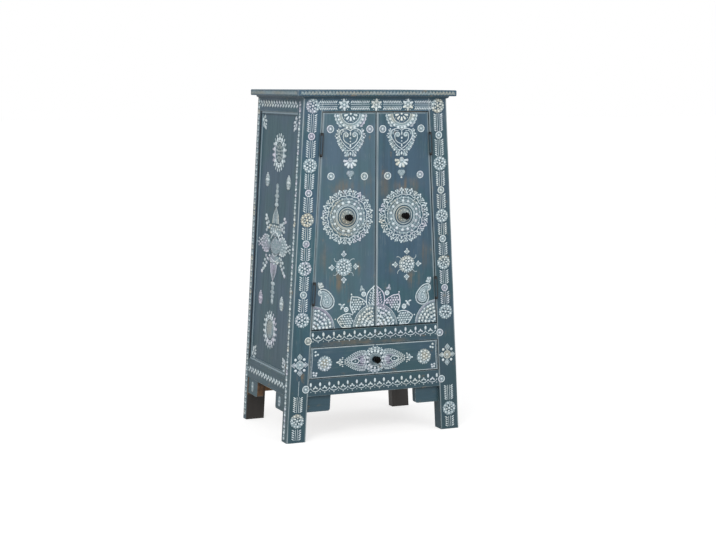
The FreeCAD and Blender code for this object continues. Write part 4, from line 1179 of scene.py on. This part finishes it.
def side_star(slip):
    """The long star: round lobes on both hands, cones up and down, blobs in line, slanting sprays."""
    slip.at(0, 0)
    uneven, middle = slip.chance.uniform, 603
    slip.warm = -0.2
    for x, y, length, width in ((140, middle, 80, 60), (286, 602, 92, 54), (208, 645, 120, 34),
                                (208, 556, 110, 34)):
        slip.wash(x, y, length, width)
    slip.warm = 0.25
    slip.dab(202, 598, 104, 60, 0, 0.05)
    for y, count in ((578, 4), (586, 6), (594, 7), (602, 7), (610, 6), (618, 4)):
        for index in range(count):
            slip.warm = uneven(-1.0, 0.8)
            slip.dab(202 + (index - (count - 1) / 2) * 13, y + uneven(-2, 2), uneven(7, 13), 4.6, 0,
                     uneven(0.15, 0.6))
    for way, x, wide, high in ((-1, 142, 40, 29), (1, 288, 42, 27)):
        slip.warm = -0.4
        for share, count, long, thick, load in ((1.0, 11, 15, 8.0, 0.9), (0.62, 7, 14, 6.6, 0.6),
                                                (0.25, 3, 13, 6.4, 0.85)):
            for angle in spread(count, -128, 128):
                along, up = polar(share, angle)
                along, up = x + way * wide * along, middle + high * up + uneven(-1, 1)
                slip.dab(along, up, long, thick, 0, load * uneven(0.8, 1.0))
        arc = [polar(0.82, -120 + 15 * step) for step in range(17)]
        slip.trail([(x + way * wide * along, middle + high * up) for along, up in arc], 2.4, load=0.5)
        for reach, up, load in ((52, 6, 0.9), (54, -7, 0.7), (68, 10, 0.5), (68, -2, 0.6), (68, -12, 0.5),
                                (84, -1, 0.4)):
            slip.dab(x + way * reach, middle + up, 16, 7.4, 0, load)
    slip.warm = 0.0
    for arch, line, load in (([(166, 622), (184, 636), (206, 644), (230, 636), (246, 622)], 3.8, 1.0),
                             ([(190, 616), (206, 628), (224, 616)], 3.0, 0.6),
                             ([(184, 574), (206, 568), (228, 574)], 3.4, 0.7),
                             ([(176, 560), (196, 552), (218, 553), (240, 560)], 3.2, 0.9)):
        slip.trail(flowing(arch), line, load=load)
    for x, y in ((190, 643), (172, 637), (208, 648), (247, 641), (168, 622), (266, 613), (150, 640),
                 (228, 646), (160, 566), (252, 566), (180, 547), (208, 542), (236, 548), (272, 578),
                 (150, 578)):
        slip.dab(x, y, 15, 8.0, 0, uneven(0.85, 1.0))
    for y, first, last, count in ((655, 150, 268, 7), (664, 165, 255, 6), (552, 150, 262, 6)):
        for index in range(count):
            x = first + (last - first) * index / (count - 1)
            slip.warm = uneven(-0.6, 1.0)
            slip.wash(x, y, 20, 10)
            slip.dab(x, y + uneven(-2, 2), 15, 6.4, uneven(-15, 15), uneven(0.5, 0.9))
    for up, base, tip in ((1, 70, 122), (-1, 60, 116)):
        slip.at(210, middle)
        slip.warm = 0.5 if up > 0 else -0.7
        for index in range(6):
            half = 28 - index * 4.6
            shoulder = base + (tip - base) * 0.48 - index * 3.2
            slip.trail([(-half, up * base), (-half * 0.80, up * shoulder), (0, up * (tip - index * 7.5)),
                        (half * 0.80, up * shoulder), (half, up * base)], 3.6,
                       load=0.6 if index == 0 else 0.3)
        slip.warm = -0.2
        for index in range(5):
            reach = tip + 8 + index * 14
            slip.wash(0, up * (reach + 4), 26, 17)
            slip.dab(0, up * reach, (36, 24, 38, 26, 22)[index], 15, 0, uneven(0.3, 0.6))
    slip.at(0, 0)
    for x, y, length, width, turn, load in (
            (132, 693, 24, 8, -20, 1.0), (122, 684, 24, 8, -20, 0.6), (138, 679, 22, 8, -15, 0.6),
            (152, 672, 22, 9, 0, 0.8), (134, 665, 20, 8, 10, 0.5), (150, 659, 20, 8, 10, 0.7),
            (168, 671, 18, 8, 0, 0.6), (132, 652, 20, 8, 0, 0.7), (298, 693, 24, 8, 25, 1.0),
            (288, 685, 26, 8, 20, 0.6), (300, 681, 24, 8, 25, 0.8), (276, 674, 22, 9, 10, 0.6),
            (290, 667, 24, 8, 20, 0.9), (264, 662, 20, 8, 10, 0.6), (282, 655, 24, 8, 15, 0.7),
            (290, 646, 20, 7, 10, 0.6), (110, 514, 22, 10, 25, 1.0), (122, 522, 26, 9, 20, 0.6),
            (134, 532, 24, 9, 20, 0.6), (120, 540, 20, 7, 10, 0.5), (146, 543, 22, 9, 10, 0.8),
            (132, 553, 22, 8, 0, 0.7), (146, 562, 20, 8, 0, 0.6), (316, 509, 22, 10, -25, 1.0),
            (304, 518, 28, 9, -25, 0.7), (290, 528, 26, 9, -20, 0.8), (306, 534, 20, 7, -10, 0.5),
            (278, 540, 24, 9, -10, 0.6), (294, 548, 22, 8, 0, 0.6), (270, 555, 22, 8, 0, 0.8),
            (284, 563, 20, 8, 0, 0.6)):
        slip.warm = uneven(-0.5, 0.1)
        slip.wash(x, y, length, 1.5 * width, 0.3 * turn)
        slip.dab(x, y, 0.8 * length, 1.4 * width, 0.3 * turn, load)
    slip.warm = 0.0


def side_bud(slip, x, y, warm):
    """A soft upright flower, widest at its middle."""
    slip.at(x, y)
    slip.warm = warm
    slip.wash(0, 0, 44, 42)
    for up, length, width, load in ((2, 34, 11, 0.9), (11, 36, 9, 0.5), (-9, 38, 10, 0.4), (17, 26, 8, 0.7),
                                    (-16, 28, 8, 0.6), (23, 14, 6, 0.8)):
        slip.dab(0, up, length, width, 0, load)
    slip.warm = 0.0


def side_panel_drawing(slip):
    medallion(slip, 208, 900, False)
    medallion(slip, 216, 328, True)
    for u, z, warm in ((113, 807, 0.0), (304, 807, -0.1), (124, 422, 0.2), (318, 419, -0.8)):
        side_bud(slip, u, z, warm)
    side_star(slip)
    for u, z, turn in ((62, 1012, -58), (366, 1012, -122), (62, 216, 58), (364, 216, 122)):
        spray(slip, u, z, turn, 38, 3)
        slip.at(u, z, turn)
        for way in (-1, 1):
            slip.dab(6, way * 12, 18, 7, way * 24, 0.6)
            slip.dab(24, way * 14, 16, 7, way * 30, 0.75)


def side_frame_drawing(slip):
    for index in range(57):
        z = 12 + index * 18.6
        slip.warm = slip.chance.uniform(-0.4, 0.6)
        slip.at(27, z, slip.chance.uniform(-20, 20))
        slip.dab(0, 4.5, 17, 20, 0, 0.05)
        slip.dab(0, 0, 15.5, 10.0, 0, slip.chance.uniform(0.7, 1.0))
        slip.dab(slip.chance.uniform(-3, 3), 9.3, 11, 6.0, 0, 0.5)
        slip.at(398, z + 6)
        slip.dab(0, 4, 22, 20, 0, 0.10)
        slip.dab(0, 0, 16, 9, slip.chance.uniform(-15, 15), 0.7)
        slip.dab(0, 9, 11, 6, load=0.45)
    slip.warm = 0.0
    for index in range(28):
        slip.at(52 + index * 12.0, 1060 if index % 2 else 1049, 30 if index % 2 else -30)
        slip.wash(0, 0, 21, 12)
        slip.dab(0, 0, 17, 8.6, load=0.85)
        slip.dab(3, -12 if index % 2 else 10, 12, 5.6, load=0.6)
    for index in range(27):
        slip.at(50 + index * 12.4, 179 if index % 2 else 171, 25 if index % 2 else -35)
        slip.wash(0, 0, 20, 12)
        slip.dab(0, 0, 15, 8.0, load=0.85)
        slip.dab(4, -9 if index % 2 else 10, 11, 5.0, load=0.6)


def bracket_drawing(slip):
    for u in (88, 342):
        slip.at(u, 118)
        slip.wash(0, 0, 24, 36)
        for up in (-12, 0, 12):
            slip.dab(0, up, 18, 9, 0, 0.4)
        slip.dab(0, 0, 12, 7, 0, 0.8)


panel_sunk, bracket_sunk = 7.5, 3.0
for side, way in (("left", 1), ("right", -1)):
    rise = (way * lean, 0, 1)
    out = (-way * math.cos(math.atan(lean)), 0, math.sin(math.atan(lean)))
    for seed, draw, board, sunk in ((21, side_panel_drawing, "panel", panel_sunk),
                                    (22, side_frame_drawing, "frame", 0.0),
                                    (23, bracket_drawing, "brackets", bracket_sunk)):
        drawing = Slip(seed)
        draw(drawing)
        spot = plane((way * (sunk - floor_half), 1000 * front_y, 0), (0, 1, 0), rise, out)
        lay(drawing, "slip_on_" + side + "_" + board, "carcase", spot)

# Ornament of the top board's edge: a rope of slanting strokes along the front and both ends,
# rubbed thin by use.


def rope(slip, length, load):
    count = round(length / 11.5)
    for index in range(count):
        slip.at((index + 0.5) * length / count, 1090.2)
        slip.wash(3, 0, 9.5, 15, 40)
        slip.dab(0, 0, 15.5, 4.8, 50, load)


rubbed_white = white_slip("rubbed slip", 0.45)
edge_front = Slip(31)
edge_front.warm = 0.7
rope(edge_front, 524, 0.3)
spot = plane((-263, -213, 0), (1, 0, 0), (0, 0, 1), (0, -1, 0))
lay(edge_front, "slip_on_top_edge", "carcase", spot, rubbed_white)
for side, way in (("left", -1), ("right", 1)):
    edge_side = Slip(32)
    edge_side.warm = 0.6
    rope(edge_side, 421, 0.15)
    spot = plane((way * 269.0, -207, 0), (0, 1, 0), (0, 0, 1), (way, 0, 0))
    lay(edge_side, "slip_on_" + side + "_top_edge", "carcase", spot, rubbed_white)

# Room: a pale floor, a white surround for the camera alone, and broad soft lamps.
# The camera stands left of the cabinet's front and a little above the height of its top.


def in_view(tree):
    """One for what the camera sees, straight, mirrored or through glass, and zero for other light."""
    rays = node(tree, "ShaderNodeLightPath").outputs
    bent = sums(tree, "MAXIMUM", rays["Is Glossy Ray"], rays["Is Transmission Ray"])
    return sums(tree, "MAXIMUM", rays["Is Camera Ray"], bent)


world = bpy.data.worlds.new("white room")
world.use_nodes = True
room = world.node_tree
background = room.nodes["Background"]
room.links.new(between(room, in_view(room), 0.0, 1.0, 0.60, 1.0), background.inputs["Strength"])
background.inputs["Color"].default_value = (1.0, 1.0, 1.0, 1.0)
bpy.context.scene.world = world

floor_paint = bpy.data.materials.new("white floor")
floor_paint.use_nodes = True
tree = floor_paint.node_tree
shader = tree.nodes["Principled BSDF"]
shader.inputs["Base Color"].default_value = (0.42, 0.42, 0.42, 1.0)
shader.inputs["Roughness"].default_value = 0.9
shader.inputs["Emission Color"].default_value = (1.0, 1.0, 1.0, 1.0)
tree.links.new(sums(tree, "MULTIPLY", in_view(tree), 0.70), shader.inputs["Emission Strength"])
floor_mesh = bpy.data.meshes.new("floor")
far = 40
corners = [(-far, -far, 0), (far, -far, 0), (far, far, 0), (-far, far, 0)]
floor_mesh.from_pydata(corners, [], [(0, 1, 2, 3)])
floor_mesh.materials.append(floor_paint)
floor = bpy.data.objects.new("floor", floor_mesh)
bpy.context.scene.collection.objects.link(floor)


def lamp(name, place, target, size, power):
    light = bpy.data.lights.new(name, "AREA")
    light.shape = "DISK"
    light.size = size
    light.energy = power
    lamp_object = bpy.data.objects.new(name, light)
    lamp_object.location = place
    lamp_object.rotation_euler = (Vector(target) - Vector(place)).to_track_quat("-Z", "Y").to_euler()
    bpy.context.scene.collection.objects.link(lamp_object)


lamp("key", (-2.8, -3.2, 3.2), (0, 0, 0.55), 2.2, 115)
lamp("fill", (2.2, -4.2, 2.2), (0, 0, 0.5), 2.6, 60)

camera_data = bpy.data.cameras.new("camera")
camera_data.sensor_width = 36.0
camera_data.lens = 76.80
camera = bpy.data.objects.new("camera", camera_data)
yaw, pitch, roll = 0.40943, -0.12181, 0.00410
aim = Matrix.Rotation(-yaw, 4, "Z") @ Matrix.Rotation(math.pi / 2 + pitch, 4, "X")
aim = aim @ Matrix.Rotation(roll, 4, "Z")
camera_place = (-1.9595, -4.5682, 1.1217)
camera.matrix_world = Matrix.Translation(camera_place) @ aim
bpy.context.scene.collection.objects.link(camera)
bpy.context.scene.camera = camera
bpy.context.scene.view_settings.view_transform = "Standard"
